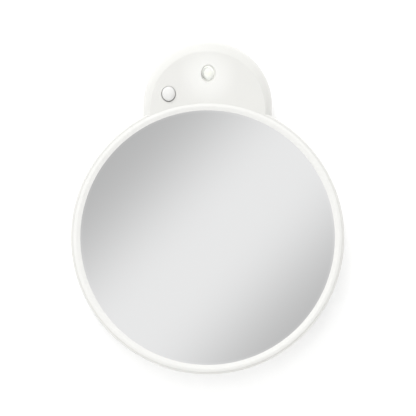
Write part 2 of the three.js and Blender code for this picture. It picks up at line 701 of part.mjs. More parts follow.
// Rear cover
const cupRoom = HEAD_RADIUS - CUP_EDGE_GAP - Math.hypot(railOuterX, boxBottom) - CUP_BOX_GAP;
const cupRadius = cupRoom / 2;
const cupCircle = HEAD_RADIUS - CUP_EDGE_GAP - cupRadius;
const keyholes = Object.fromEntries(CUP_NAMES.map((name, i) =>
  [name, onCircle(cupCircle, 0, UP_SHARE + i / CUP_NAMES.length)]));

function keyhole([x, z]) {
  const back = coverBackDepth - CUT_OVERRUN;
  const front = coverFrontDepth + CUT_OVERRUN;
  const slot = CUP_NECK_RADIUS + KEYHOLE_GAP;
  return joined(
    rod(slot, back, front, [x, z]),
    block([x - slot, back, z - KEYHOLE_DROP], [x + slot, front, z]),
    rod(CUP_HEAD_RADIUS + KEYHOLE_GAP, back, front, [x, z - KEYHOLE_DROP], WELL_SIDES),
  );
}

function coverPlate() {
  const rounded = quarterRound(HEAD_RADIUS, coverBackDepth, COVER_EDGE_ROUNDING, false);
  const disc = turned([
    [0, coverFrontDepth],
    [HEAD_RADIUS, coverFrontDepth],
    ...rounded,
    [0, coverBackDepth],
  ], HEAD_SIDES);
  const levels = quarterRound(TAB_RADIUS, coverBackDepth, COVER_EDGE_ROUNDING, false).reverse()
    .map(([radius, depth]) => ({ depth, radius, height: tabHeight }));
  levels.push({ depth: coverFrontDepth, radius: TAB_RADIUS, height: tabHeight });
  return disc.add(tabBody(levels));
}

function coverLip() {
  const back = coverFrontDepth - COVER_THICKNESS / 2;
  const within = (inset, backDepth, frontDepth) =>
    rod(HEAD_RADIUS - inset, backDepth, frontDepth, AXIS, HEAD_SIDES)
      .add(straightTab(inset, backDepth, frontDepth));
  const inset = HOUSING_WALL + FIT_GAP;
  return cut(
    within(inset, back, lipFrontDepth),
    within(inset + LIP_THICKNESS, back - CUT_OVERRUN, lipFrontDepth + CUT_OVERRUN),
  );
}

function rearCover() {
  const screwPlaces = Object.values(housingScrewPlaces);
  const inPlate = coverFrontDepth - COVER_THICKNESS / 2;
  const pads = screwPlaces.map((place) => rod(screwPadRadius, inPlate, screwPadDepth, place));
  const back = coverBackDepth - CUT_OVERRUN;
  const bay = block(
    [-bayHalfLength, WALL_TO_DOOR, -bayHalfHeight],
    [bayHalfLength, tubFloorDepth, bayHalfHeight],
  );
  return cut(
    joined(coverPlate(), coverLip(), batteryBox(), ...pads),
    bay,
    ...tailSlots(),
    ...Object.values(keyholes).map(keyhole),
    ...screwPlaces.map((place) => rod(HOUSING_SCREW.headRadius + HOLE_GAP, back, screwSeatDepth, place)),
    ...screwPlaces.map((place) =>
      rod(HOUSING_SCREW.radius + HOLE_GAP, back, screwPadDepth + CUT_OVERRUN, place)),
  );
}

// Suction cup, drawn on the depth axis
function suctionCup() {
  const bellHeight = coverBackDepth - FIT_GAP;
  const headBack = coverFrontDepth + FIT_GAP;
  const [taperRadius, taperDepth] = HEAD_TAPER_SHARES;
  const bell = BELL_SHARES.map(([radius, depth]) => [radius * cupRadius, depth * bellHeight]);
  const hollow = HOLLOW_SHARES.map(([radius, depth]) => [radius * cupRadius, depth * bellHeight]);
  return turned([
    [0, headBack + CUP_HEAD_THICKNESS],
    [CUP_HEAD_RADIUS * taperRadius, headBack + CUP_HEAD_THICKNESS],
    [CUP_HEAD_RADIUS, headBack + CUP_HEAD_THICKNESS * taperDepth],
    [CUP_HEAD_RADIUS, headBack],
    [CUP_NECK_RADIUS, headBack],
    [CUP_NECK_RADIUS, bellHeight],
    ...bell,
    ...hollow,
  ], CUP_SIDES);
}

// Lamp, its leads and its spacer
const leadPlaces = { left: -LEAD_PITCH / 2, right: LEAD_PITCH / 2 };
const leadHole = LEAD_THICKNESS / 2 + HOLE_GAP / 2;
const stretched = (solid) => solid.scale([1, 1, LAMP_STRETCH_SHARE]);

function lamp() {
  const domeDepth = lampTipDepth - LAMP_DOME_HEIGHT;
  const flangeRadius = LAMP_RADIUS + LAMP_FLANGE_WIDTH;
  const dome = [];
  for (let step = 0; step <= RIM_STEPS; step++) {
    const turn = (step / RIM_STEPS) * (Math.PI / 2);
    dome.push([LAMP_RADIUS * Math.cos(turn), domeDepth + LAMP_DOME_HEIGHT * Math.sin(turn)]);
  }
  const body = turned([
    [0, lampBaseDepth],
    [flangeRadius, lampBaseDepth],
    [flangeRadius, lampBaseDepth + LAMP_FLANGE_THICKNESS],
    [LAMP_RADIUS, lampBaseDepth + LAMP_FLANGE_THICKNESS],
    ...dome,
  ], WELL_SIDES);
  const sockets = Object.values(leadPlaces).map((x) => block(
    [x - leadHole, lampBaseDepth - CUT_OVERRUN, -leadHole],
    [x + leadHole, lampBaseDepth + LEAD_SOCKET_DEPTH + FIT_GAP, leadHole],
  ));
  return cut(stretched(body), ...sockets);
}

function lampLead(x) {
  const half = LEAD_THICKNESS / 2;
  return block(
    [x - half, boardBackDepth - LEAD_TAIL, -half],
    [x + half, lampBaseDepth + LEAD_SOCKET_DEPTH, half],
  );
}

function lampSpacer() {
  const innerRadius = LAMP_RADIUS + FIT_GAP;
  const backDepth = lampBaseDepth + LAMP_FLANGE_THICKNESS + FIT_GAP;
  const frontDepth = faceInnerDepth - FIT_GAP;
  return stretched(tube(innerRadius + SPACER_WALL, innerRadius, backDepth, frontDepth, AXIS));
}

// Button cap, switch and plunger, drawn on the depth axis
const capBackDepth = faceInnerDepth - FIT_GAP - BUTTON_FLANGE_THICKNESS;
const switchFrontDepth = boardFrontDepth + FIT_GAP + SWITCH_THICKNESS;
const socketFloorDepth = boardFrontDepth + FIT_GAP + SWITCH_FLOOR;

function buttonCap() {
  const rimDepth = faceDepth + BUTTON_PROUD;
  const domeRadius = (BUTTON_RADIUS ** 2 + BUTTON_DOME_HEIGHT ** 2) / (BUTTON_DOME_HEIGHT * 2);
  const dome = [];
  for (let step = 0; step <= ROUNDING_STEPS; step++) {
    const radius = BUTTON_RADIUS * (1 - step / ROUNDING_STEPS);
    const rise = Math.sqrt(domeRadius ** 2 - radius ** 2) - domeRadius + BUTTON_DOME_HEIGHT;
    dome.push([radius, rimDepth + rise]);
  }
  const flangeFront = capBackDepth + BUTTON_FLANGE_THICKNESS;
  return turned([
    [0, capBackDepth],
    [BUTTON_RADIUS + BUTTON_FLANGE_WIDTH, capBackDepth],
    [BUTTON_RADIUS + BUTTON_FLANGE_WIDTH, flangeFront],
    [BUTTON_RADIUS, flangeFront],
    ...dome,
  ], WELL_SIDES);
}

function switchBody() {
  const half = SWITCH_WIDTH / 2;
  const body = block([-half, boardFrontDepth + FIT_GAP, -half], [half, switchFrontDepth, half]);
  return cut(body, rod(PLUNGER_RADIUS + RUN_GAP, socketFloorDepth, switchFrontDepth + CUT_OVERRUN, AXIS));
}

const switchPlunger = () =>
  rod(PLUNGER_RADIUS, socketFloorDepth + BUTTON_TRAVEL + RUN_GAP, capBackDepth - FIT_GAP, AXIS);

// Resistor, drawn on the depth axis: a waisted body on a wire whose ends pass through the board
const resistorDepth = boardFrontDepth + FIT_GAP + RESISTOR_RADIUS;
const resistorEnds = [-1, 1].map((side) => [resistorPlace[0] + side * RESISTOR_SPAN / 2, resistorPlace[1]]);

function resistor() {
  const half = RESISTOR_LENGTH / 2;
  const waist = half * (1 - RESISTOR_END_SHARE);
  const rounding = half * RESISTOR_END_SHARE / 2;
  const thin = RESISTOR_RADIUS * RESISTOR_STEP_SHARE;
  const profile = [
    [0, -half], [thin, -half], [RESISTOR_RADIUS, rounding - half], [RESISTOR_RADIUS, -waist],
    [thin, rounding - waist], [thin, waist - rounding],
    [RESISTOR_RADIUS, waist], [RESISTOR_RADIUS, half - rounding], [thin, half], [0, half],
  ].map(([radius, along]) => new THREE.Vector2(radius, along));
  const body = new THREE.LatheGeometry(profile, PIN_SIDES).rotateZ(Math.PI / 2);
  const reach = RESISTOR_SPAN / 2;
  const lead = RESISTOR_LEAD_RADIUS;
  const tail = boardBackDepth - LEAD_TAIL;
  const front = resistorDepth + lead;
  const wire = block([-reach - lead, resistorDepth - lead, -lead], [reach + lead, front, lead]);
  const legs = [-reach, reach].map((x) => block([x - lead, tail, -lead], [x + lead, front, lead]));
  return joined(solidOf(body.translate(0, -resistorDepth, 0)), wire, ...legs);
}

// Circuit board
function circuitBoard() {
  const back = boardBackDepth - CUT_OVERRUN;
  const front = boardFrontDepth + CUT_OVERRUN;
  const sheet = block(
    [buttonX - BOARD_PAST_BUTTON, boardBackDepth, boardBottom],
    [BOARD_PAST_LAMP, boardFrontDepth, lampHeight + BOARD_ABOVE_LAMP],
  );
  const inTab = rod(TAB_RADIUS - HOUSING_WALL - BOARD_EDGE_GAP, back, front, [0, tabHeight], TAB_SIDES);
  const hole = (radius) => (place) => rod(radius + HOLE_GAP, back, front, place);
  return cut(
    sheet.intersect(inTab),
    rod(SCREW_BOSS_RADIUS + BOARD_BOSS_GAP, back, front, housingScrewPlaces.tab_left),
    ...Object.values(boardScrews).map(hole(BOARD_SCREW.radius)),
    ...Object.values(leadPlaces).map((x) => hole(LEAD_THICKNESS / 2)([x, lampHeight])),
    ...resistorEnds.map(hole(RESISTOR_LEAD_RADIUS)),
  );
}

// The wires run side by side from the contacts' tails, behind the ledge, to the board's back
const wireTails = { red: TAIL_LENGTH, black: TAIL_LENGTH + WIRE_PITCH };

function wire(side, tailLength) {
  const depth = tailInnerDepth - FIT_GAP - WIRE_RADIUS;
  const boardDepth = boardBackDepth - FIT_GAP - WIRE_RADIUS;
  const x = -tubHalfLength - tailLength + WIRE_RADIUS + FIT_GAP;
  const padX = buttonX + WIRE_PAD_GAP - (tailLength - TAIL_LENGTH);
  const start = side * (CELL_PITCH / 2 + tailHeight) - TAIL_WIDTH;
  const route = [
    [x, depth, start],
    [x, depth, boardBottom * WIRE_KNEE_SHARES[0] / 2],
    [x, boardDepth, boardBottom * WIRE_KNEE_SHARES[0]],
    [padX, boardDepth, boardBottom * WIRE_KNEE_SHARES[1]],
    [padX, boardDepth, boardBottom + WIRE_ON_BOARD],
  ];
  const points = route.map(([px, pd, pz]) => new THREE.Vector3(px, -pd, pz));
  return tubeAlong(points, WIRE_RADIUS, WIRE_SIDES, WIRE_STEPS);
}

// The pieces, placed
const mirror = new THREE.Group();

function place(parent, mesh, x, depth, z) {
  mesh.position.set(x, -depth, z);
  parent.add(mesh);
  return mesh;
}

const head = new THREE.Group();
head.add(meshOf("front_housing", frontHousing(), WHITE));
head.add(meshOf("bezel_ring", bezelRing(), RING_WHITE));
head.add(meshOf("mirror_glass", mirrorGlass(), MIRROR));
head.add(meshOf("foam_tape_ring", foamTapeRing(), FOAM));
head.add(meshOf("rear_cover", rearCover(), WHITE));
for (const [name, [x, z]] of Object.entries(housingScrewPlaces)) {
  const mesh = meshOf("housing_screw_" + name, screw(HOUSING_SCREW), STEEL);
  place(head, mesh, x, housingScrewDepth, z);
}
mirror.add(head);

const batteries = new THREE.Group();
batteries.add(meshOf("battery_door", batteryDoor(), WHITE));
batteries.add(meshOf("contact_positive", leftContact(1, wireTails.red), NICKEL));
batteries.add(meshOf("contact_negative", leftContact(-1, wireTails.black), NICKEL));
batteries.add(meshOf("contact_bridge", bridgeContact(), NICKEL));
const springX = bayHalfLength - contactDepth - FIT_GAP;
for (const [name, side] of [["upper", 1], ["lower", -1]]) {
  const cell = meshOf("battery_cell_" + name, batteryCell(), CELL_JACKET);
  place(batteries, cell, -side * cellShift, cellDepth, side * CELL_PITCH / 2);
  cell.rotation.z = -side * Math.PI / 2;
  const spring = meshOf("contact_spring_" + name, contactSpring(), NICKEL);
  place(batteries, spring, side * springX, cellDepth, side * CELL_PITCH / 2);
  spring.rotation.z = side > 0 ? Math.PI : 0;
}
mirror.add(batteries);

const lampGroup = new THREE.Group();
lampGroup.position.z = lampHeight;
lampGroup.add(meshOf("led", lamp(), LAMP_LENS));
lampGroup.add(meshOf("led_spacer", lampSpacer(), WHITE));
for (const [name, x] of Object.entries(leadPlaces)) {
  lampGroup.add(meshOf("led_lead_" + name, lampLead(x), STEEL));
}
mirror.add(lampGroup);

const buttonGroup = new THREE.Group();
buttonGroup.position.set(buttonX, 0, buttonHeight);
buttonGroup.add(meshOf("button_cap", buttonCap(), RING_WHITE));
buttonGroup.add(meshOf("switch_body", switchBody(), DARK_PLASTIC));
buttonGroup.add(meshOf("switch_plunger", switchPlunger(), BLACK));
mirror.add(buttonGroup);

const electronics = new THREE.Group();
electronics.add(meshOf("circuit_board", circuitBoard(), BOARD_GREEN));
place(electronics, meshOf("resistor", resistor(), RESISTOR_TAN), resistorPlace[0], 0, resistorPlace[1]);
for (const [name, [x, z]] of Object.entries(boardScrews)) {
  place(electronics, meshOf("board_screw_" + name, screw(BOARD_SCREW), STEEL), x, boardScrewDepth, z);
}
electronics.add(meshOf("wire_red", wire(1, wireTails.red), RED));
electronics.add(meshOf("wire_black", wire(-1, wireTails.black), BLACK));
mirror.add(electronics);

for (const [name, [x, z]] of Object.entries(keyholes)) {
  place(mirror, meshOf("suction_cup_" + name, suctionCup(), CLEAR_RUBBER), x, 0, z);
}

export default mirror;
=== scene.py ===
import math
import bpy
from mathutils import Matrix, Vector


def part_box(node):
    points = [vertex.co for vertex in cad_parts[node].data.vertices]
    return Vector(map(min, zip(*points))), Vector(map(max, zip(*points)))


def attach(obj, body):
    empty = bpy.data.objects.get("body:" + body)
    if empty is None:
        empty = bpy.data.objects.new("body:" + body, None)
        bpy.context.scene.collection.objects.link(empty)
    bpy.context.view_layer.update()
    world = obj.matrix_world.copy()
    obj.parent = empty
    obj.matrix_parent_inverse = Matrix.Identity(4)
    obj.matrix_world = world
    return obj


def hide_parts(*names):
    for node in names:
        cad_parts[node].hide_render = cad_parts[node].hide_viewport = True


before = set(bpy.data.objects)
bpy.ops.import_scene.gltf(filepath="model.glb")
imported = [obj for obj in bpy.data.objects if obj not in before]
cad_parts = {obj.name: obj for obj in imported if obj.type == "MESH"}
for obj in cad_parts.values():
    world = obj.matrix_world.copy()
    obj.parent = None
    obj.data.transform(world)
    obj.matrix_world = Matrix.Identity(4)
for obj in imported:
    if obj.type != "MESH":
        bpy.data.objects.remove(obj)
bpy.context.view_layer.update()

from types import SimpleNamespace as Sizes

import bmesh
import bpy
from mathutils import Matrix, Vector

# Shapes are drawn in millimetres and turned into metres when a piece is finished.
# A depth is how far something stands from the wall, so its y is minus its depth.
# A place is a point (x, z) as the viewer sees it.
MM = 0.001
FIT_GAP = 0.3
CUT_OVERRUN = 1.0

# Head and tab. The lamp and the button sit a little off the part's places, as in the photo.
HEAD = Sizes(
    wall=2.0, face=2.0, lip=1.3, shoulder=0.45, shoulder_drop=0.12, edge_drop=1.1, edge_rounding=0.35,
    ledge=2.0, ledge_width=16.0, recess_wall=2.0,
)
TAB = Sizes(
    radius=33.1, height=67.8, leg=38.0, rim_width=3.6, rim_depth=5.5, rim_turn=0.11 * math.tau,
    face_drop=2.6,
)
MOUTH_ROUNDING = 0.22
LAMP = Sizes(
    radius=2.75, dome_radius=2.55, dome_height=1.4, stretch_share=1.2, place=(0.4, -0.3),
    flange_radius=3.15, flange=1.0, flange_rounding=0.12, well_mouth=3.85, well_floor=3.3,
    lead_pitch=2.54, socket_half=0.4, socket_depth=1.8,
)
BUTTON = Sizes(
    radius=3.4, proud=1.2, edge_rounding=1.0, stretch_share=1.1, place=(-0.13, 0.2),
    flange=0.9, flange_rounding=0.12, hole_radius=3.66, hole_place=(-0.15, 0.06),
    guide_radius=5.05, guide_wall=1.2, guide_length=2.0,
)
BOSS = Sizes(radius=3.2, back=12.93, rim_share=0.2, board_radius=2.4, rounding=0.3)
RING = Sizes(
    width=3.35, lip=1.2, skirt=1.4, seam=0.04, slope_drop=1.0, crest_inset=1.45, crest_drop=0.3,
    outer_drop=0.65, window_rounding=0.1, crest_rounding=0.5, edge_rounding=0.25,
)
GLASS = Sizes(thickness=2.0, curve_radius=600.0, chamfer=0.25)
FOAM = Sizes(width=4.5, bulge=0.12, edge_rounding=0.1, side_rounding=0.2)

# Rear cover, battery box and door
COVER = Sizes(thickness=2.0, edge_rounding=1.5, lip=1.2, lip_height=1.6)
KEYHOLE = Sizes(radius=5.45, slot_radius=3.65, drop=10.5)
RECESS = Sizes(
    radius=2.8, flare=0.5, rounding=0.2, seat_depth=11.13, hole_radius=1.6, pad_radius=3.4, pad_front=12.63,
)
BOX = Sizes(
    back=3.4, bottom=-12.9, top=16.1, corner_rounding=2.0, edge_rounding=0.5, plinth=6.2,
    rail_x=30.25, rail=2.0, rail_lip=1.0, rail_lip_width=1.4, collar_x=25.25, collar_rounding=0.2,
)
BAY = Sizes(
    half_length=25.9, half_height=11.4, floor=16.05, corner_rounding=0.4,
    tub_wall=1.2, tub_floor=1.0, tub_rounding=0.5,
)
TAIL_SLOT = Sizes(middle=8.6, half=1.4, back_gap=0.8, front_gap=0.4)
DOOR = Sizes(
    thickness=1.5, x=26.55, corner_rounding=0.8, edge_rounding=0.25, end_rounding=0.4,
    flange_width=2.4, flange_back=4.7, flange_front=5.9, flange_rounding=0.15,
)
GRIP = Sizes(ridges=5, width=0.8, length=20.0, pitch=1.9, corner_share=0.45, edge_share=0.3)
ARROW = Sizes(size=1.9, height=0.3, rise=6.0, tip_share=0.85, sides=3)

# Suction cup. The outlines of its bell and hollow are in shares of its radius and of the bell's height.
CUP = Sizes(
    head_radius=5.0, head=2.5, head_rounding=0.6, crown_share=0.7, side_share=0.6, neck_radius=3.2,
    neck_rounding=0.3, bell_rounding=0.6, rim_rounding=0.15, hollow_rounding=1.2,
    bell_shares=[
        (0.3, 1.0), (0.34, 0.9), (0.43, 0.8), (0.6, 0.65), (0.78, 0.47), (0.93, 0.27), (1.0, 0.09),
        (1.0, 0.0),
    ],
    hollow_shares=[(0.92, 0.0), (0.84, 0.2), (0.66, 0.36), (0.45, 0.48), (0.22, 0.55), (0.0, 0.57)],
)

# Screws, battery fittings and what is on the board
HOUSING_SCREW = Sizes(head=2.5, thick=1.5, radius=1.3, tip=0.6, slot=0.7)
BOARD_SCREW = Sizes(head=1.9, thick=1.2, radius=1.0, tip=0.5, slot=0.5)
SCREW = Sizes(
    crown_share=0.35, shoulder_share=0.72, dome_rounding=0.4, edge_rounding=0.1,
    slot_length_share=0.65, slot_depth_share=0.6, slot_taper_share=0.6,
)
CELL = Sizes(
    edge_rounding=0.6, nub_radius=1.9, nub=1.0, nub_rounding=0.3, groove=0.27, groove_rounding=0.1,
    minus_shares=(0.62, 0.66, 0.84, 0.88), plus_shares=(0.86, 0.82),
    jacket_half=20.8, band_off_end=6.5, band_half=4.2,
)
SPRING = Sizes(wire_radius=0.35, base_radius=4.0, tip_radius=2.4, turns=3, turn_steps=20)
RESISTOR = Sizes(
    radius=1.1, length=5.6, end_share=0.28, waist_share=0.8, taper=0.5, end_rounding=0.4, waist_rounding=0.3,
    lead_radius=0.3, lead_bend=0.6,
)
SOLDER = Sizes(
    radius=0.85, height=0.75, rounding=0.2, peak_share=0.4, waist_share=0.6, waist_height_share=0.3,
)
WIRE_RADIUS = 0.6
WIRE_ROUTES = {
    "red": [(-28.2, 13.03, 6.6), (-28.2, 13.03, 19.8), (-28.2, 12.53, 39.6), (-14.7, 12.53, 62.04),
            (-14.7, 12.53, 69.0)],
    "black": [(-30.4, 13.03, -10.6), (-30.4, 13.03, 19.8), (-30.4, 12.53, 39.6), (-16.9, 12.53, 62.04),
              (-16.9, 12.53, 69.0)],
}

# How finely shapes are cut
HEAD_SIDES = 192
TAB_SIDES = 96
ROUND_SIDES = 64
SMALL_SIDES = 32
SOLDER_SIDES = 16
WIRE_SIDES = 16
THIN_WIRE_SIDES = 12
GLASS_STEPS = 24
RIM_STEPS = 14
DOME_STEPS = 12
CAP_FIRST_STEP = 7
WIRE_STEPS = 10
ROUND_STEPS = 6
SMALL_STEPS = 4
EDGE_STEPS = 3
CHAMFER_STEPS = 2
SHARP_ANGLE = math.radians(28)
WELD_DISTANCE = 0.0005


def reach(node):
    """A node's ends in millimetres. Its back is the end nearer the wall."""
    low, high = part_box(node)
    return Sizes(
        left=low.x / MM, right=high.x / MM, bottom=low.z / MM, top=high.z / MM,
        back=-high.y / MM, front=-low.y / MM,
        place=((low.x + high.x) / MM / 2, (low.z + high.z) / MM / 2),
    )


housing_reach = reach("front_housing")
ring_reach = reach("bezel_ring")
glass_reach = reach("mirror_glass")
door_reach = reach("battery_door")
board_reach = reach("circuit_board")
lamp_reach = reach("led")
cap_reach = reach("button_cap")

HEAD_RADIUS = housing_reach.right
FACE_DEPTH = housing_reach.front
FACE_BACK = FACE_DEPTH - HEAD.face
LEDGE_DEPTH = ring_reach.back - FIT_GAP
COVER_FRONT = housing_reach.back - FIT_GAP
COVER_BACK = COVER_FRONT - COVER.thickness
IN_COVER = COVER_BACK + COVER.thickness / 2
HOUSING_SCREWS = ["tab_left", "tab_right", "left", "right", "bottom"]
BOARD_SCREWS = ["left", "right"]
CUPS = ["top", "left", "right"]


# Shapes
def softened(corners, steps=ROUND_STEPS):
    """Points through corners (across, along) or (across, along, rounding), with the roundings curved."""
    points = []
    for i, (across, along, *rounding) in enumerate(corners):
        if not any(rounding):
            points.append((across, along))
            continue
        corner = Vector((across, along))
        before, after = (
            (Vector(corners[near % len(corners)][:2]) - corner).normalized() * rounding[0] + corner
            for near in (i - 1, i + 1)
        )
        for step in range(steps + 1):
            share = step / steps
            curve = before.lerp(corner, share).lerp(corner.lerp(after, share), share)
            points.append((curve.x, curve.y))
    return points


def turned(corners, sides=ROUND_SIDES, place=(0, 0), steps=ROUND_STEPS, ring=False):
    """A solid turned about the depth axis from corners (radius, depth, rounding)."""
    shape = bmesh.new()
    outline = [shape.verts.new((radius, -depth, 0)) for radius, depth in softened(corners, steps)]
    ends = outline[1:] + outline[:1] if ring else outline[1:]
    edges = [shape.edges.new(pair) for pair in zip(outline, ends)]
    bmesh.ops.spin(
        shape, geom=outline + edges, cent=(0, 0, 0), axis=(0, 1, 0), dvec=(0, 0, 0),
        angle=math.tau, steps=sides, use_merge=True, use_duplicate=False,
    )
    bmesh.ops.remove_doubles(shape, verts=shape.verts, dist=WELD_DISTANCE)
    bmesh.ops.recalc_face_normals(shape, faces=shape.faces)
    return moved(shape, place)


def moved(shape, place, depth=0):
    x, z = place
    bmesh.ops.translate(shape, vec=(x, -depth, z), verts=shape.verts)
    return shape


def reshape(shape, corners, stretch_share=1, shift=(0, 0)):
    """Stretches corners upward, and shifts them to where the photo has them."""
    right, up = shift
    bmesh.ops.scale(shape, vec=(1, 1, stretch_share), verts=corners)
    bmesh.ops.translate(shape, vec=(right, 0, up), verts=corners)


def beyond(shape, depth):
    """The shape's corners that stand further from the wall than a depth."""
    return [corner for corner in shape.verts if -corner.co.y > depth]


def rod(radius, back, front, place=(0, 0), sides=ROUND_SIDES, rounding=0):
    """A round bar along the depth, with its back rim rounded and one flat face at each end."""
    shape = turned([(0, back), (radius, back, rounding), (radius, front), (0, front)], sides, place)
    poles = [corner for corner in shape.verts if len(corner.link_edges) == sides]
    bmesh.ops.dissolve_verts(shape, verts=poles)
    return shape


def block(low, high, corner_rounding=0, edge_rounding=0):
    """A block between two corners (x, depth, z), its edges along the depth rounded, then the rest."""
    shape = bmesh.new()
    bmesh.ops.create_cube(shape, size=1)
    spans = [b - a for a, b in zip(low, high)]
    x, depth, z = [(a + b) / 2 for a, b in zip(low, high)]
    bmesh.ops.scale(shape, vec=spans, verts=shape.verts)
    bmesh.ops.translate(shape, vec=(x, -depth, z), verts=shape.verts)
    if corner_rounding:
        upright = [edge for edge in shape.edges if edge.verts[0].co.y != edge.verts[1].co.y]
        round_edges(shape, upright, corner_rounding, ROUND_STEPS)
    if edge_rounding:
        sharp = [edge for edge in shape.edges if edge.calc_face_angle(0) > SHARP_ANGLE]
        round_edges(shape, sharp, edge_rounding, EDGE_STEPS)
    return shape


def round_edges(shape, edges, offset, segments):
    bmesh.ops.bevel(
        shape, geom=edges, offset=offset, offset_type="OFFSET", segments=segments,
        profile=0.5, affect="EDGES", clamp_overlap=True, material=-1,
    )


def placed(name, data):
    """An object of the data, in the scene."""
    made = bpy.data.objects.new(name, data)
    bpy.context.scene.collection.objects.link(made)
    return made


def mesh_of(name, shape):
    mesh = bpy.data.meshes.new(name)
    shape.to_mesh(mesh)
    shape.free()
    return mesh


def gathered(*shapes):
    """Shapes that don't touch, in one mesh."""
    whole = bmesh.new()
    for shape in shapes:
        mesh = mesh_of("part", shape)
        whole.from_mesh(mesh)
        bpy.data.meshes.remove(mesh)
    return whole


def combined(shape, tools, operation):
    """The shape joined with, or cut by, each of the tools in turn."""
    for tool in tools:
        body, other = (placed("loose", mesh_of("loose", loose)) for loose in (shape, tool))
        change = body.modifiers.new("change", "BOOLEAN")
        change.operation = operation
        change.object = other
        change.solver = "EXACT"
        shape = bmesh.new()
        shape.from_object(body, bpy.context.evaluated_depsgraph_get())
        for spent in (body, other):
            bpy.data.meshes.remove(spent.data)
    bmesh.ops.remove_doubles(shape, verts=shape.verts, dist=WELD_DISTANCE)
    bmesh.ops.holes_fill(shape, edges=[edge for edge in shape.edges if edge.is_boundary])
    bmesh.ops.delete(shape, geom=[edge for edge in shape.edges if edge.is_wire], context="EDGES")
    return shape


def joined(shape, *tools):
    return combined(shape, tools, "UNION")


def cut(shape, *tools):
    return combined(shape, tools, "DIFFERENCE")


def tab_solid(levels):
    """The tab's half-round body through levels (depth, radius, height), from back to front."""
    depth, radius, height = levels[0]
    shape = bmesh.new()
    knee = shape.verts.new((radius, -depth, height))
    swept = bmesh.ops.spin(
        shape, geom=[knee], cent=(0, 0, height), axis=(0, -1, 0), dvec=(0, 0, 0),
        angle=math.pi, steps=TAB_SIDES, use_merge=False, use_duplicate=False,
    )
    far_knee = swept["geom_last"][0]
    foot, far_foot = (shape.verts.new((x, -depth, height - TAB.leg)) for x in (radius, -radius))
    for pair in ((knee, foot), (foot, far_foot), (far_foot, far_knee)):
        shape.edges.new(pair)
    bottom = bmesh.ops.contextual_create(shape, geom=shape.edges[:])["faces"][0]
    face = bottom
    for next_depth, next_radius, next_height in levels[1:]:
        grown = bmesh.ops.extrude_face_region(shape, geom=[face])["geom"]
        if face is not bottom:
            bmesh.ops.delete(shape, geom=[face], context="FACES_ONLY")
        rim = [part for part in grown if isinstance(part, bmesh.types.BMVert)]
        face = next(part for part in grown if isinstance(part, bmesh.types.BMFace))
        share = next_radius / radius
        centre = Matrix.Translation((0, 0, -height))
        bmesh.ops.scale(shape, vec=(share, 1, share), space=centre, verts=rim)
        bmesh.ops.translate(shape, vec=(0, depth - next_depth, next_height - height), verts=rim)
        depth, radius, height = next_depth, next_radius, next_height
    bmesh.ops.recalc_face_normals(shape, faces=shape.faces)
    return shape


def rimmed_levels(inset, back, front):
    """Levels of the tab whose rim curves in from the side and meets its smaller flat face at a crease."""
    levels = [(back, TAB.radius - inset, TAB.height)]
    for step in range(RIM_STEPS + 1):
        turn = step / RIM_STEPS * TAB.rim_turn
        up_share = math.sin(turn) / math.sin(TAB.rim_turn)
        in_share = (1 - math.cos(turn)) / (1 - math.cos(TAB.rim_turn))
        levels.append((
            front - TAB.rim_depth * (1 - up_share),
            TAB.radius - TAB.rim_width * in_share - inset,
            TAB.height - TAB.face_drop * in_share,
        ))
    return levels


def piece(name, shape, material, slot, *nodes, body="head"):
    """The shape as a finished object that rides on a body and stands for nodes."""
    bmesh.ops.scale(shape, vec=(MM, MM, MM), verts=shape.verts)
    for face in shape.faces:
        face.smooth = True
    for edge in shape.edges:
        edge.smooth = edge.calc_face_angle(math.pi) < SHARP_ANGLE
    made = placed(name, mesh_of(name, shape))
    made.data.materials.append(material)
    even = made.modifiers.new("even_normals", "WEIGHTED_NORMAL")
    even.keep_sharp = True
    even.weight = 100
    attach(made, body)
    if nodes:
        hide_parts(*nodes)
    return made


# Materials
FLOAT, COLOR, VECTOR = "NodeSocketFloat", "NodeSocketColor", "NodeSocketVector"
NOISE_MIDDLE = 0.5
DRAWN_ROUGHNESS_SHARES = (0.7, 1.4)
PRINTED_ROUGHNESS_SHARES = (0.8, 1.2)


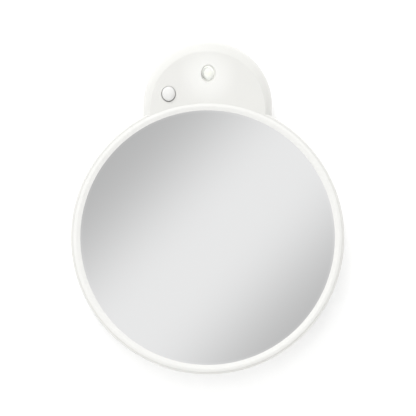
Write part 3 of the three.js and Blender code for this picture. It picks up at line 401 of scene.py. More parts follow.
class Graph:
    """Adds shader nodes to a tree. Inputs are values or sockets, and a call gives an output socket."""

    def __init__(self, tree, material=None):
        self.tree = tree
        self.material = material

    def give(self, socket, value):
        if isinstance(value, bpy.types.NodeSocket):
            self.tree.links.new(value, socket)
        else:
            socket.default_value = value

    def node(self, kind, values=(), out=0, **settings):
        made = self.tree.nodes.new("ShaderNode" + kind)
        for setting, value in settings.items():
            setattr(made, setting, value)
        for key, value in dict(values).items():
            self.give(made.inputs[key], value)
        return made.outputs[out]

    def where(self):
        return self.node("TexCoord", out="Object")

    def math(self, operation, *values):
        return self.node("Math", enumerate(values), operation=operation)

    def noise(self, where, scale, detail, distortion=0.0):
        values = {"Vector": where, "Scale": scale, "Detail": detail, "Distortion": distortion}
        return self.node("TexNoise", values, out="Fac")

    def ranged(self, value, low, high, start=0.0, end=1.0, kind="LINEAR"):
        """A value that runs from low to high while the given one runs from start to end."""
        values = {"Value": value, "From Min": start, "From Max": end, "To Min": low, "To Max": high}
        return self.node("MapRange", values, out="Result", interpolation_type=kind)

    def changed(self, base, cloud, amount):
        """The base with a cloud's swing about its middle added to it, times the amount."""
        return self.math("MULTIPLY_ADD", self.math("SUBTRACT", cloud, NOISE_MIDDLE), amount, base)

    def mixed(self, share, first, second):
        return self.node("Mix", {"Factor": share, 6: first, 7: second}, out=2, data_type="RGBA")

    def along(self, vector, direction):
        return self.node("VectorMath", {0: vector, 1: direction}, out="Value", operation="DOT_PRODUCT")

    def bump(self, height, strength, distance):
        return self.node("Bump", {"Strength": strength, "Distance": distance * MM, "Height": height})

    def group(self, tree, values):
        made = self.tree.nodes.new("ShaderNodeGroup")
        made.node_tree = tree
        for key, value in values.items():
            made.inputs[key].default_value = value
        return made.outputs

    def shaded(self, **values):
        """The material, with inputs of its main shader set."""
        for key, value in values.items():
            self.give(self.tree.nodes["Principled BSDF"].inputs[key.replace("_", " ")], value)
        return self.material


def shared_group(name, inputs, outputs):
    """A shader node group with inputs {name: default} and outputs {name: kind}."""
    tree = bpy.data.node_groups.new(name, "ShaderNodeTree")
    for socket_name, default in inputs.items():
        kind = FLOAT if isinstance(default, float) else COLOR
        tree.interface.new_socket(socket_name, in_out="INPUT", socket_type=kind).default_value = default
    for socket_name, kind in outputs.items():
        tree.interface.new_socket(socket_name, in_out="OUTPUT", socket_type=kind)
    return Graph(tree), tree.nodes.new("NodeGroupInput").outputs, tree.nodes.new("NodeGroupOutput").inputs


def moulded_group():
    """Moulded plastic: faint mottling of colour and gloss, and a fine grain."""
    graph, given, result = shared_group(
        "moulded_surface",
        {"Color": (0.9, 0.9, 0.9, 1), "Mottle": 0.01, "Roughness": 0.3, "Gloss Change": 0.05,
         "Grain Size": 0.0005, "Grain Depth": 0.1},
        {"Color": COLOR, "Roughness": FLOAT, "Normal": VECTOR},
    )
    where = graph.where()
    tint = graph.changed(1.0, graph.noise(where, scale=45.0, detail=3.0), given["Mottle"])
    color = graph.node("VectorMath", {0: given["Color"], "Scale": tint}, operation="SCALE")
    graph.give(result["Color"], color)
    swirl = graph.noise(where, scale=130.0, detail=4.0)
    graph.give(result["Roughness"], graph.changed(given["Roughness"], swirl, given["Gloss Change"]))
    fineness = graph.math("DIVIDE", 1.0, given["Grain Size"])
    grain = graph.noise(where, scale=fineness, detail=2.0)
    graph.give(result["Normal"], graph.bump(grain, strength=given["Grain Depth"], distance=0.1))
    return graph.tree


def worn_group():
    """Handling marks: a mask of fine smudges and hairline scratches."""
    graph, given, result = shared_group("handling_marks", {"Smudge": 0.1, "Scratch": 0.1}, {"Mask": FLOAT})
    where = graph.where()
    cloud = graph.noise(where, scale=28.0, detail=6.0, distortion=1.2)
    smudge = graph.ranged(cloud, 0.0, 1.0, start=0.52, end=0.75)
    stretch = {"Vector": where, "Scale": (9.0, 9.0, 700.0), "Rotation": (0.0, 0.6, 0.0)}
    lines = graph.noise(graph.node("Mapping", stretch), scale=2.0, detail=1.0)
    scratch = graph.ranged(lines, 0.0, 1.0, start=0.72, end=0.76)
    smudges = graph.math("MULTIPLY", smudge, given["Smudge"])
    scratches = graph.math("MULTIPLY", scratch, given["Scratch"])
    graph.give(result["Mask"], graph.math("ADD", smudges, scratches))
    return graph.tree


MOULDED = moulded_group()
WORN = worn_group()


def blank_material(name):
    material = bpy.data.materials.new(name)
    material.use_nodes = True
    return Graph(material.node_tree, material)


def moulded(name, color, roughness, grain_size, grain_depth, mottle=0.02, coat=0.0):
    """A moulded plastic, its grain size in millimetres."""
    graph = blank_material(name)
    skin = graph.group(MOULDED, {
        "Color": (*color, 1), "Mottle": mottle, "Roughness": roughness, "Gloss Change": 0.08,
        "Grain Size": grain_size * MM, "Grain Depth": grain_depth,
    })
    return graph.shaded(
        Base_Color=skin["Color"], Roughness=skin["Roughness"], Normal=skin["Normal"],
        Coat_Weight=coat, Coat_Roughness=0.08,
    )


def plated(name, color, roughness):
    """A plated metal with a fine drawn grain along x."""
    graph = blank_material(name)
    drawn = graph.node("Mapping", {"Vector": graph.where(), "Scale": (90.0, 2200.0, 2200.0)})
    grain = graph.noise(drawn, scale=1.0, detail=3.0)
    rough = graph.ranged(grain, *(roughness * share for share in DRAWN_ROUGHNESS_SHARES))
    lines = graph.bump(grain, strength=0.12, distance=0.05)
    return graph.shaded(Base_Color=(*color, 1), Metallic=1.0, Roughness=rough, Normal=lines)


def mirror_silver():
    """Silvered glass with faint smudges that only dull its gloss."""
    graph = blank_material("mirror_silver")
    marks = graph.group(WORN, {"Smudge": 0.035, "Scratch": 0.02})
    rough = graph.math("ADD", marks["Mask"], 0.012)
    return graph.shaded(Base_Color=(0.905, 0.908, 0.91, 1), Metallic=1.0, Roughness=rough)


GLOW = Sizes(
    edge_white=(0.81, 0.82, 0.79, 1), core_white=(0.82, 0.83, 0.735, 1), front=0.04, side=0.75,
    side_depth=1.0, lean=(0.52, 0.0, 0.3),
)


def lamp_glow():
    """Clear epoxy lit from inside, warmest before the die, with light that leaves by its sides."""
    graph = blank_material("lamp_glow")
    where = graph.where()
    x, z = (a + b for a, b in zip(lamp_reach.place, LAMP.place))
    centred = graph.node("Mapping", {"Vector": where, "Location": (-x * MM, 0.0, -z * MM)})
    flat = graph.node("VectorMath", {0: centred, 1: (1.0, 0.0, 1.0)}, operation="MULTIPLY")
    off_axis = graph.node("VectorMath", {0: flat}, out="Value", operation="LENGTH")
    core = graph.ranged(off_axis, 1.0, 0.0, end=LAMP.radius * MM, kind="SMOOTHSTEP")
    tint = graph.mixed(core, GLOW.edge_white, GLOW.core_white)
    y = graph.node("SeparateXYZ", {0: where}, out="Y")
    rim = lamp_reach.front - LAMP.dome_height
    ends = {"start": -rim * MM, "end": (GLOW.side_depth - rim) * MM}
    strength = graph.ranged(y, GLOW.front, GLOW.side, kind="SMOOTHSTEP", **ends)
    lean = graph.along(centred, GLOW.lean)
    more = graph.math("MULTIPLY_ADD", lean, 1 / (LAMP.radius * MM), 1.0)
    uneven = graph.math("MULTIPLY", strength, more)
    return graph.shaded(
        Base_Color=tint, Emission_Color=tint, Emission_Strength=uneven, Roughness=0.12, Coat_Weight=0.3,
    )


def clear_vinyl():
    """Soft clear vinyl, a little cloudy, with a fine bloom on its surface."""
    graph = blank_material("clear_vinyl")
    bloom = graph.noise(graph.where(), scale=160.0, detail=4.0)
    rough = graph.ranged(bloom, 0.1, 0.24)
    return graph.shaded(Base_Color=(0.86, 0.9, 0.92, 1), Roughness=rough, Transmission_Weight=0.85, IOR=1.48)


def board_mask():
    """Solder mask over copper tracks."""
    graph = blank_material("board_mask")
    flat = graph.node("Mapping", {"Vector": graph.where(), "Rotation": (math.pi / 2, 0.0, 0.0)})
    tracks = {
        "Vector": flat, "Scale": 260.0, "Mortar Size": 0.06, "Brick Width": 2.2, "Row Height": 0.8,
        "Color1": (0.02, 0.13, 0.05, 1), "Color2": (0.02, 0.115, 0.045, 1), "Mortar": (0.05, 0.25, 0.09, 1),
    }
    color = graph.node("TexBrick", tracks, out="Color")
    edges = graph.bump(color.node.outputs["Fac"], strength=0.3, distance=0.05)
    return graph.shaded(Base_Color=color, Roughness=0.35, Normal=edges)


def banded(name, ground, bands, roughness, grain_scale, metallic=0.0):
    """A ground colour with bands (middle, half width, colour) along x, in millimetres."""
    graph = blank_material(name)
    where = graph.where()
    x = graph.node("SeparateXYZ", {0: where}, out="X")
    color = (*ground, 1)
    for middle, half, band in bands:
        off = graph.math("ABSOLUTE", graph.math("SUBTRACT", x, middle * MM))
        color = graph.mixed(graph.math("LESS_THAN", off, half * MM), color, (*band, 1))
    grain = graph.noise(where, scale=grain_scale, detail=2.0)
    rough = graph.ranged(grain, *(roughness * share for share in PRINTED_ROUGHNESS_SHARES))
    return graph.shaded(Base_Color=color, Roughness=rough, Metallic=metallic)


shell = moulded("shell_white", (0.79, 0.788, 0.762), 0.32, grain_size=0.35, grain_depth=0.05, coat=0.15)
back_shell = moulded("back_shell_white", (0.82, 0.819, 0.795), 0.5, grain_size=0.45, grain_depth=0.45)
ring_plastic = moulded("ring_white", (0.88, 0.878, 0.856), 0.3, grain_size=0.4, grain_depth=0.03, coat=0.2)
cap_plastic = moulded("button_white", (0.84, 0.84, 0.827), 0.25, grain_size=0.3, grain_depth=0.03, coat=0.3)
silver = mirror_silver()
glow = lamp_glow()
vinyl = clear_vinyl()
foam_white = moulded("foam_white", (0.88, 0.87, 0.84), 0.95, grain_size=0.3, grain_depth=0.9, mottle=0.08)
dark = moulded("dark_plastic", (0.035, 0.035, 0.04), 0.45, grain_size=0.3, grain_depth=0.2, mottle=0.1)
INSULATION = {"roughness": 0.38, "grain_size": 0.4, "grain_depth": 0.12, "mottle": 0.08}
insulation = {
    "red": moulded("red_insulation", (0.55, 0.03, 0.025), **INSULATION),
    "black": moulded("black_insulation", (0.02, 0.02, 0.022), **INSULATION),
}
zinc = plated("zinc_plate", (0.68, 0.69, 0.7), roughness=0.26)
nickel = plated("nickel_plate", (0.74, 0.72, 0.68), roughness=0.22)
tin = plated("tin_solder", (0.78, 0.78, 0.77), roughness=0.3)
mask = board_mask()


# Front housing
def front_housing():
    front, back = FACE_DEPTH, housing_reach.back
    recess = HEAD_RADIUS - HEAD.lip
    head = turned([
        (0, back), (HEAD_RADIUS, back), (HEAD_RADIUS, front - HEAD.edge_drop, HEAD.edge_rounding),
        (HEAD_RADIUS - HEAD.shoulder, front - HEAD.shoulder_drop, HEAD.edge_rounding / 2),
        (recess, front), (0, front),
    ], HEAD_SIDES)
    body = joined(head, tab_solid(rimmed_levels(0, back, front)))
    cavity = HEAD_RADIUS - HEAD.wall
    ledge_back = LEDGE_DEPTH - HEAD.ledge
    start, end = back - CUT_OVERRUN, front + CUT_OVERRUN
    hollow = turned([
        (0, start), (cavity, start), (cavity, ledge_back), (cavity - HEAD.ledge_width, ledge_back),
        (cavity - HEAD.ledge_width, LEDGE_DEPTH), (recess, LEDGE_DEPTH), (recess, end), (0, end),
    ], HEAD_SIDES)
    wall = rod(recess + HEAD.recess_wall, ledge_back, front, sides=HEAD_SIDES)
    tab_hollow = cut(tab_solid(rimmed_levels(HEAD.wall, start, FACE_BACK)), wall)
    body = cut(body, hollow, tab_hollow)
    in_face = FACE_BACK + HEAD.face / 2
    in_rim = FACE_BACK + HEAD.face * BOSS.rim_share
    in_ledge = LEDGE_DEPTH - HEAD.ledge / 2
    bosses, bores = [], []
    for name in HOUSING_SCREWS:
        at = reach("housing_screw_" + name)
        boss_front = in_rim if name.startswith("tab") else in_ledge
        bosses.append(rod(BOSS.radius, BOSS.back, boss_front, at.place, SMALL_SIDES, BOSS.rounding))
        bores.append(rod(RECESS.hole_radius, back, at.front + FIT_GAP, at.place, SMALL_SIDES))
    boss_back = board_reach.front + FIT_GAP
    for name in BOARD_SCREWS:
        at = reach("board_screw_" + name)
        bosses.append(rod(BOSS.board_radius, boss_back, in_face, at.place, SMALL_SIDES, BOSS.rounding))
        bores.append(rod(BOARD_SCREW.radius + FIT_GAP, back, at.front + FIT_GAP, at.place, SMALL_SIDES))
    guide_radius = BUTTON.guide_radius + BUTTON.guide_wall
    bosses.append(rod(guide_radius, FACE_BACK - BUTTON.guide_length, in_face, cap_reach.place))
    body = joined(body, gathered(*bosses))
    return cut(body, gathered(*bores), button_opening(), lamp_opening())


def button_opening():
    """The button's guide and its hole, which is a little taller than wide, as in the photo."""
    start, flare = FACE_BACK - BUTTON.guide_length - CUT_OVERRUN, FACE_DEPTH + MOUTH_ROUNDING
    opening = turned([
        (0, start), (BUTTON.guide_radius, start), (BUTTON.guide_radius, FACE_BACK),
        (BUTTON.hole_radius, FACE_BACK), (BUTTON.hole_radius, FACE_DEPTH, MOUTH_ROUNDING),
        (BUTTON.hole_radius + MOUTH_ROUNDING * 2, flare), (0, flare),
    ])
    hole = [corner for corner in opening.verts if corner.co.xz.length < BUTTON.guide_radius - FIT_GAP]
    reshape(opening, hole, BUTTON.stretch_share, BUTTON.hole_place)
    return moved(opening, cap_reach.place)


def lamp_opening():
    """The lamp's oval well, whose mouth is shifted with the lamp's dome."""
    slope = (LAMP.well_mouth - LAMP.well_floor) / HEAD.face
    start, flare = FACE_BACK - CUT_OVERRUN, FACE_DEPTH + MOUTH_ROUNDING
    opening = turned([
        (0, start), (LAMP.well_floor - slope * CUT_OVERRUN, start),
        (LAMP.well_mouth, FACE_DEPTH, MOUTH_ROUNDING), (LAMP.well_mouth + MOUTH_ROUNDING * 2, flare),
        (0, flare),
    ])
    reshape(opening, opening.verts, LAMP.stretch_share)
    reshape(opening, beyond(opening, FACE_BACK), shift=LAMP.place)
    return moved(opening, lamp_reach.place)


piece("housing", front_housing(), shell, "white_shell", "front_housing")


# Ring, glass and foam
def bezel():
    outer, front, back = ring_reach.right, ring_reach.front, ring_reach.back
    shoulder = HEAD_RADIUS - HEAD.lip - RING.seam
    window, skirt = outer - RING.width, outer - RING.skirt
    lip_back, groove = front - RING.lip, FACE_DEPTH - RING.lip
    return turned([
        (window, lip_back), (window, front - RING.slope_drop, RING.window_rounding),
        (shoulder - RING.crest_inset, front - RING.crest_drop, RING.crest_rounding),
        (shoulder, front - RING.outer_drop, RING.seam), (shoulder, groove), (outer, groove),
        (outer, back, RING.edge_rounding), (skirt, back), (skirt, lip_back),
    ], HEAD_SIDES, ring=True)


def glass():
    radius, back = glass_reach.right, glass_reach.back
    rise = [radius * step / GLASS_STEPS for step in range(GLASS_STEPS + 1)]
    sag = [GLASS.curve_radius - math.sqrt(GLASS.curve_radius ** 2 - r ** 2) for r in rise]
    front = back + GLASS.thickness
    behind = [(r, back + s) for r, s in zip(rise[:-1], sag)]
    ahead = [(r, front + s) for r, s in zip(rise[:-1], sag)]
    edge = [(radius, side + sag[-1], GLASS.chamfer) for side in (back, front)]
    return turned(behind + edge + ahead[::-1], HEAD_SIDES, steps=CHAMFER_STEPS)


def foam_ring():
    at = reach("foam_tape_ring")
    outer, inner = at.right, at.right - FOAM.width
    slope = (outer ** 2 - inner ** 2) / 2 / GLASS.curve_radius
    middle = (at.back + at.front) / 2
    return turned([
        (inner, at.back, FOAM.edge_rounding), (outer, at.back, FOAM.edge_rounding),
        (outer - FOAM.bulge, middle, FOAM.side_rounding), (outer, at.front, FOAM.edge_rounding),
        (inner, at.front - slope, FOAM.edge_rounding),
        (inner + FOAM.bulge, middle - slope / 2, FOAM.side_rounding),
    ], HEAD_SIDES, steps=EDGE_STEPS, ring=True)


piece("bezel", bezel(), ring_plastic, "white_ring", "bezel_ring")
piece("glass", glass(), silver, "mirror", "mirror_glass")
foam = piece("foam_tape", foam_ring(), foam_white, "foam", "foam_tape_ring")


# Rear cover with the battery box
def cover_plate():
    disc = turned([
        (0, COVER_FRONT), (HEAD_RADIUS, COVER_FRONT), (HEAD_RADIUS, COVER_BACK, COVER.edge_rounding),
        (0, COVER_BACK),
    ], HEAD_SIDES)
    levels = []
    for step in range(ROUND_STEPS + 1):
        turn = step / ROUND_STEPS * math.pi / 2
        levels.append((
            COVER_BACK + COVER.edge_rounding * (1 - math.cos(turn)),
            TAB.radius - COVER.edge_rounding * (1 - math.sin(turn)),
            TAB.height,
        ))
    levels.append((COVER_FRONT, TAB.radius, TAB.height))
    return joined(disc, tab_solid(levels))


def cover_lip():
    back, front = IN_COVER, COVER_FRONT + COVER.lip_height

    def within(inset, start, end):
        tab = tab_solid([(depth, TAB.radius - inset, TAB.height) for depth in (start, end)])
        return joined(rod(HEAD_RADIUS - inset, start, end, sides=HEAD_SIDES), tab)

    inset = HEAD.wall + FIT_GAP
    inside = within(inset + COVER.lip, back - CUT_OVERRUN, front + CUT_OVERRUN)
    return cut(within(inset, back, front), inside)


def wide_block(x, bottom, top, back, front, *roundings):
    """A block that reaches as far to the left as to the right."""
    return block((-x, back, bottom), (x, front, top), *roundings)


def battery_box():
    groove_x = BOX.rail_x - BOX.rail
    below, stop = BOX.bottom - CUT_OVERRUN, BOX.top - BOX.rail
    walls = wide_block(
        BOX.rail_x, BOX.bottom, BOX.top, BOX.back, IN_COVER, BOX.corner_rounding, BOX.edge_rounding,
    )
    groove = wide_block(groove_x, below, stop, BOX.back + BOX.rail_lip, BOX.plinth)
    window = wide_block(groove_x - BOX.rail_lip_width, below, stop, BOX.back - CUT_OVERRUN, BOX.plinth)
    tub_x, tub_z = BAY.half_length + BAY.tub_wall, BAY.half_height + BAY.tub_wall
    collar_back = BOX.back + DOOR.thickness + FIT_GAP
    collar = wide_block(BOX.collar_x, -tub_z, tub_z, collar_back, IN_COVER, 0, BOX.collar_rounding)
    tub_front = BAY.floor + BAY.tub_floor
    tub = wide_block(tub_x, -tub_z, tub_z, IN_COVER, tub_front, BAY.tub_rounding, BAY.tub_rounding)
    return joined(cut(walls, groove, window), collar, tub)


def keyhole(name):
    x, z = reach("suction_cup_" + name).place
    low = z - KEYHOLE.drop
    back, front = COVER_BACK - CUT_OVERRUN, COVER_FRONT + CUT_OVERRUN
    slot = block((x - KEYHOLE.slot_radius, back, low), (x + KEYHOLE.slot_radius, front, z))
    narrow = rod(KEYHOLE.slot_radius, back, front, (x, z), SMALL_SIDES)
    wide = rod(KEYHOLE.radius, back, front, (x, low), SMALL_SIDES)
    return joined(slot, narrow, wide)


def screw_recess(name):
    start, end = COVER_BACK - CUT_OVERRUN, RECESS.pad_front + CUT_OVERRUN
    mouth = RECESS.radius + RECESS.flare
    return turned([
        (0, start), (mouth, start), (mouth, COVER_BACK - RECESS.rounding),
        (RECESS.radius, COVER_BACK + FIT_GAP, RECESS.rounding), (RECESS.radius, RECESS.seat_depth),
        (RECESS.hole_radius, RECESS.seat_depth), (RECESS.hole_radius, end), (0, end),
    ], SMALL_SIDES, reach("housing_screw_" + name).place, EDGE_STEPS)


def tail_slots():
    slots = []
    start, end = -BAY.half_length - BAY.tub_wall - CUT_OVERRUN, CUT_OVERRUN - BAY.half_length
    for name, middle in (("contact_positive", TAIL_SLOT.middle), ("contact_negative", -TAIL_SLOT.middle)):
        tail = reach(name)
        slots.append(block(
            (start, tail.front - TAIL_SLOT.back_gap, middle - TAIL_SLOT.half),
            (end, tail.front + TAIL_SLOT.front_gap, middle + TAIL_SLOT.half),
        ))
    return gathered(*slots)


def rear_cover():
    pads = gathered(*[
        rod(RECESS.pad_radius, IN_COVER, RECESS.pad_front, reach("housing_screw_" + name).place, SMALL_SIDES)
        for name in HOUSING_SCREWS
    ])
    whole = joined(cover_plate(), cover_lip(), battery_box(), pads)
    half = BAY.half_height
    bay = wide_block(BAY.half_length, -half, half, BOX.back, BAY.floor, BAY.corner_rounding)
    keyholes = [keyhole(name) for name in CUPS]
    recesses = [screw_recess(name) for name in HOUSING_SCREWS]
    return cut(whole, bay, tail_slots(), *keyholes, *recesses)


def battery_door():
    top, bottom, edge_x = door_reach.top, door_reach.bottom, door_reach.right
    panel = wide_block(
        DOOR.x, bottom, top, BOX.back, BOX.back + DOOR.thickness, DOOR.corner_rounding, DOOR.edge_rounding,
    )
    flange_x = edge_x - DOOR.flange_width
    flanges = gathered(*[
        block((left, DOOR.flange_back, BOX.bottom), (right, DOOR.flange_front, top), 0, DOOR.flange_rounding)
        for left, right in ((-edge_x, -flange_x), (flange_x, edge_x))
    ])
    end = wide_block(
        edge_x, bottom, BOX.bottom - FIT_GAP, BOX.back, door_reach.front,
        DOOR.end_rounding, DOOR.edge_rounding,
    )
    ridges = []
    for ridge in range(1, GRIP.ridges + 1):
        low = bottom + ridge * GRIP.pitch
        ridges.append(wide_block(
            GRIP.length / 2, low, low + GRIP.width, door_reach.back, BOX.back + DOOR.thickness / 2,
            GRIP.width * GRIP.corner_share, GRIP.width * GRIP.edge_share,
        ))
    arrow = bmesh.new()
    bmesh.ops.create_cone(
        arrow, cap_ends=True, cap_tris=False, segments=ARROW.sides, depth=DOOR.thickness,
        radius1=ARROW.size, radius2=ARROW.size * ARROW.tip_share,
    )
    bmesh.ops.rotate(arrow, cent=(0, 0, 0), matrix=Matrix.Rotation(-math.pi / 2, 3, "X"), verts=arrow.verts)
    moved(arrow, (0, ARROW.rise), BOX.back - ARROW.height + DOOR.thickness / 2)
    return joined(panel, flanges, end, gathered(*ridges), arrow)


piece("cover", rear_cover(), back_shell, "white_shell", "rear_cover")
piece("door", battery_door(), back_shell, "white_shell", "battery_door", body="battery_door")


# Suction cups
def suction_cup(name):
    cup = reach(name)
    radius = (cup.right - cup.left) / 2
    bell_height = COVER_BACK - FIT_GAP
    bell, hollow = (
        [(r * radius, d * bell_height) for r, d in shares] for shares in (CUP.bell_shares, CUP.hollow_shares)
    )
    head_back = COVER_FRONT + FIT_GAP
    head_front = head_back + CUP.head
    return turned([
        (0, head_front),
        (CUP.head_radius * CUP.crown_share, head_front, CUP.head_rounding),
        (CUP.head_radius, head_back + CUP.head * CUP.side_share, CUP.head_rounding),
        (CUP.head_radius, head_back, CUP.neck_rounding),
        (CUP.neck_radius, head_back, CUP.neck_rounding),
        (CUP.neck_radius, bell_height, CUP.neck_rounding),
        *[(*corner, CUP.bell_rounding) for corner in bell[1:-2]],
        (*bell[-2], CUP.neck_rounding), (*bell[-1], CUP.rim_rounding),
        (*hollow[0], CUP.neck_rounding),
        *[(*corner, CUP.hollow_rounding) for corner in hollow[1:-1]], hollow[-1],
    ], place=cup.place, steps=SMALL_STEPS)


for cup_name in CUPS:
    node_name = "suction_cup_" + cup_name
    piece("cup_" + cup_name, suction_cup(node_name), vinyl, "clear_cup", node_name, body="suction_cups")


# Screws
def screw(node, sizes):
    """A screw with a domed head and a tapered cross recess."""
    at = reach(node)
    under = at.back + sizes.thick
    body = turned([
        (0, at.back),
        (sizes.head * SCREW.shoulder_share, at.back, SCREW.dome_rounding),
        (sizes.head, at.back + sizes.thick * SCREW.crown_share, SCREW.dome_rounding),
        (sizes.head, under, SCREW.edge_rounding),
        (sizes.radius, under, SCREW.edge_rounding),
        (sizes.radius, at.front - sizes.tip), (sizes.radius - sizes.tip, at.front), (0, at.front),
    ], SMALL_SIDES, steps=SMALL_STEPS)
    long, half = sizes.head * SCREW.slot_length_share, sizes.slot / 2
    mouth, floor = at.back - CUT_OVERRUN, at.back + sizes.thick * SCREW.slot_depth_share
    across, upright = (wide_block(x, -z, z, mouth, floor) for x, z in ((long, half), (half, long)))
    cross = joined(across, upright)
    for corner in cross.verts:
        if corner.co.y < -floor + WELD_DISTANCE:
            corner.co.x *= SCREW.slot_taper_share
            corner.co.z *= SCREW.slot_taper_share
    return moved(cut(body, cross), at.place)


for title, node_title, screw_names, screw_sizes in (
    ("case_screw_", "housing_screw_", HOUSING_SCREWS, HOUSING_SCREW),
    ("fixing_screw_", "board_screw_", BOARD_SCREWS, BOARD_SCREW),
):
    for screw_name in screw_names:
        node_name = node_title + screw_name
        piece(title + screw_name, screw(node_name, screw_sizes), zinc, "steel", node_name)


# Lamp and button
def lamp_lens():
    """The lamp, whose dome is a little slimmer than its body and shifted, as in the photo."""
    back, front = lamp_reach.back, lamp_reach.front
    rim = front - LAMP.dome_height
    dome = []
    for step in range(DOME_STEPS):
        turn = step / DOME_STEPS * math.pi / 2
        dome.append((LAMP.dome_radius * math.cos(turn), rim + LAMP.dome_height * math.sin(turn)))
    flange_front = back + LAMP.flange
    body = turned([
        (0, back), (LAMP.flange_radius, back, LAMP.flange_rounding),
        (LAMP.flange_radius, flange_front, LAMP.flange_rounding),
        (LAMP.radius, flange_front, LAMP.flange_rounding), (LAMP.radius, FACE_BACK - FIT_GAP),
        *dome, (0, front),
    ])
    reshape(body, body.verts, LAMP.stretch_share)
    reshape(body, beyond(body, FACE_BACK), shift=LAMP.place)
    half, socket_front = LAMP.socket_half, back + LAMP.socket_depth
    sockets = gathered(*[
        block((x - half, back - CUT_OVERRUN, -half), (x + half, socket_front, half))
        for x in (-LAMP.lead_pitch / 2, LAMP.lead_pitch / 2)
    ])
    return moved(cut(body, sockets), lamp_reach.place)


def cap():
    """The push button, a little off centre in its hole and taller than wide, as in the photo."""
    back, front = cap_reach.back, cap_reach.front
    flange_radius = (cap_reach.right - cap_reach.left) / 2
    rim = FACE_DEPTH + BUTTON.proud
    dome_height = front - rim
    dome_radius = (BUTTON.radius ** 2 + dome_height ** 2) / dome_height / 2
    dome = []
    for step in range(CAP_FIRST_STEP, GLASS_STEPS):
        radius = BUTTON.radius * (1 - step / GLASS_STEPS)
        dome.append((radius, front - dome_radius + math.sqrt(dome_radius ** 2 - radius ** 2)))
    flange_front = back + BUTTON.flange
    shape = turned([
        (0, back), (flange_radius, back, BUTTON.flange_rounding),
        (flange_radius, flange_front, BUTTON.flange_rounding),
        (BUTTON.radius, flange_front, BUTTON.flange_rounding),
        (BUTTON.radius, rim, BUTTON.edge_rounding), *dome, (0, front),
    ])
    stem = beyond(shape, flange_front + BUTTON.flange_rounding)
    reshape(shape, stem, BUTTON.stretch_share, BUTTON.place)
    return moved(shape, cap_reach.place)


piece("lamp", lamp_lens(), glow, "lamp_lens", "led")
piece("button", cap(), cap_plastic, "white_ring", "button_cap", body="power_button")


# Battery cells
def laid_across(shape, side, place, depth):
    """A shape drawn along the depth with its middle at depth 0, laid along x with its front to that side."""
    turn = Matrix.Rotation(side * math.pi / 2, 3, "Z")
    bmesh.ops.rotate(shape, cent=(0, 0, 0), matrix=turn, verts=shape.verts)
    return moved(shape, place, depth)


def battery_cell(node, side):
    at = reach(node)
    half = (at.right - at.left) / 2
    radius = (at.top - at.bottom) / 2
    can_front = half - CELL.nub
    minus_floor, plus_floor = CELL.groove - half, can_front - CELL.groove
    minus = zip(CELL.minus_shares, (-half, minus_floor, minus_floor, -half))
    plus = zip(CELL.plus_shares, (can_front, plus_floor))
    shape = turned([
        (0, -half), *[(share * radius, depth, CELL.groove_rounding) for share, depth in minus],
        (radius, -half, CELL.edge_rounding), (radius, can_front, CELL.edge_rounding),
        *[(share * radius, depth, CELL.groove_rounding) for share, depth in plus],
        (CELL.nub_radius, plus_floor, CELL.groove_rounding),
        (CELL.nub_radius, half, CELL.nub_rounding), (0, half),
    ], steps=SMALL_STEPS)
    return laid_across(shape, side, at.place, (at.back + at.front) / 2)


CAN_GREY = (0.5, 0.5, 0.5)
JACKET_GREY = (0.55, 0.56, 0.57)
BAND_BLUE = (0.05, 0.16, 0.2)

for cell_name, cell_side in (("upper", -1), ("lower", 1)):
    node_name = "battery_cell_" + cell_name
    cell = reach(node_name)
    plus_end = cell.left if cell_side < 0 else cell.right
    jacket = banded(
        "cell_jacket_" + cell_name, CAN_GREY,
        [
            (cell.place[0], CELL.jacket_half, JACKET_GREY),
            (plus_end - cell_side * CELL.band_off_end, CELL.band_half, BAND_BLUE),
        ],
        roughness=0.3, grain_scale=300.0, metallic=0.75,
    )
    piece("cell_" + cell_name, battery_cell(node_name, cell_side), jacket, "cell_can", node_name)


# Tubes that follow a line: springs and wires
def tube_along(points, radius, sides):
    """A round tube through points, capped at both ends."""
    curve = bpy.data.curves.new("line", "CURVE")
    curve.dimensions = "3D"
    curve.bevel_depth = radius
    curve.bevel_resolution = sides // 4 - 1
    curve.use_fill_caps = True
    line = curve.splines.new("POLY")
    line.points.add(len(points) - 1)
    for spot, point in zip(line.points, points):
        spot.co = (*point, 1)
    holder = placed("line", curve)
    solid = bpy.data.meshes.new_from_object(holder.evaluated_get(bpy.context.evaluated_depsgraph_get()))
    shape = bmesh.new()
    shape.from_mesh(solid)
    bpy.data.meshes.remove(solid)
    bpy.data.curves.remove(curve)
    bmesh.ops.remove_doubles(shape, verts=shape.verts, dist=WELD_DISTANCE)
    bmesh.ops.recalc_face_normals(shape, faces=shape.faces)
    return shape


def curved_line(corners, steps):
    """Points of a smooth line through corners."""
    points = []
    ends = [Vector(corner) for corner in (corners[0], *corners, corners[-1])]
    for previous, start, end, following in zip(ends, ends[1:], ends[2:], ends[3:]):
        out, back = (end - previous) / 2, (following - start) / 2
        for step in range(steps):
            share = step / steps
            eased = share * share * (3 - 2 * share)
            points.append((start + out * share).lerp(end - back * (1 - share), eased))
    return points + [ends[-1]]


def contact_spring(node):
    """A spring that tapers away from the bay's end wall, with a straight start and end."""
    at = reach(node)
    depth = (at.back + at.front) / 2
    base_x, way = (at.right, -1) if at.right > 0 else (at.left, 1)
    length = at.right - at.left
    z_middle = at.place[1]
    straight = SPRING.wire_radius * 2
    corners = []
    steps = SPRING.turns * SPRING.turn_steps
    for step in range(steps + 1):
        share = step / steps
        radius = SPRING.base_radius + (SPRING.tip_radius - SPRING.base_radius) * share
        angle = share * SPRING.turns * math.tau
        x = base_x + way * (straight + share * (length - straight * 2))
        corners.append((x, -depth + way * radius * math.cos(angle), z_middle + radius * math.sin(angle)))
    corners = [(base_x, *corners[0][1:]), *corners, (base_x + way * length, *corners[-1][1:])]
    return tube_along(corners, SPRING.wire_radius, THIN_WIRE_SIDES)


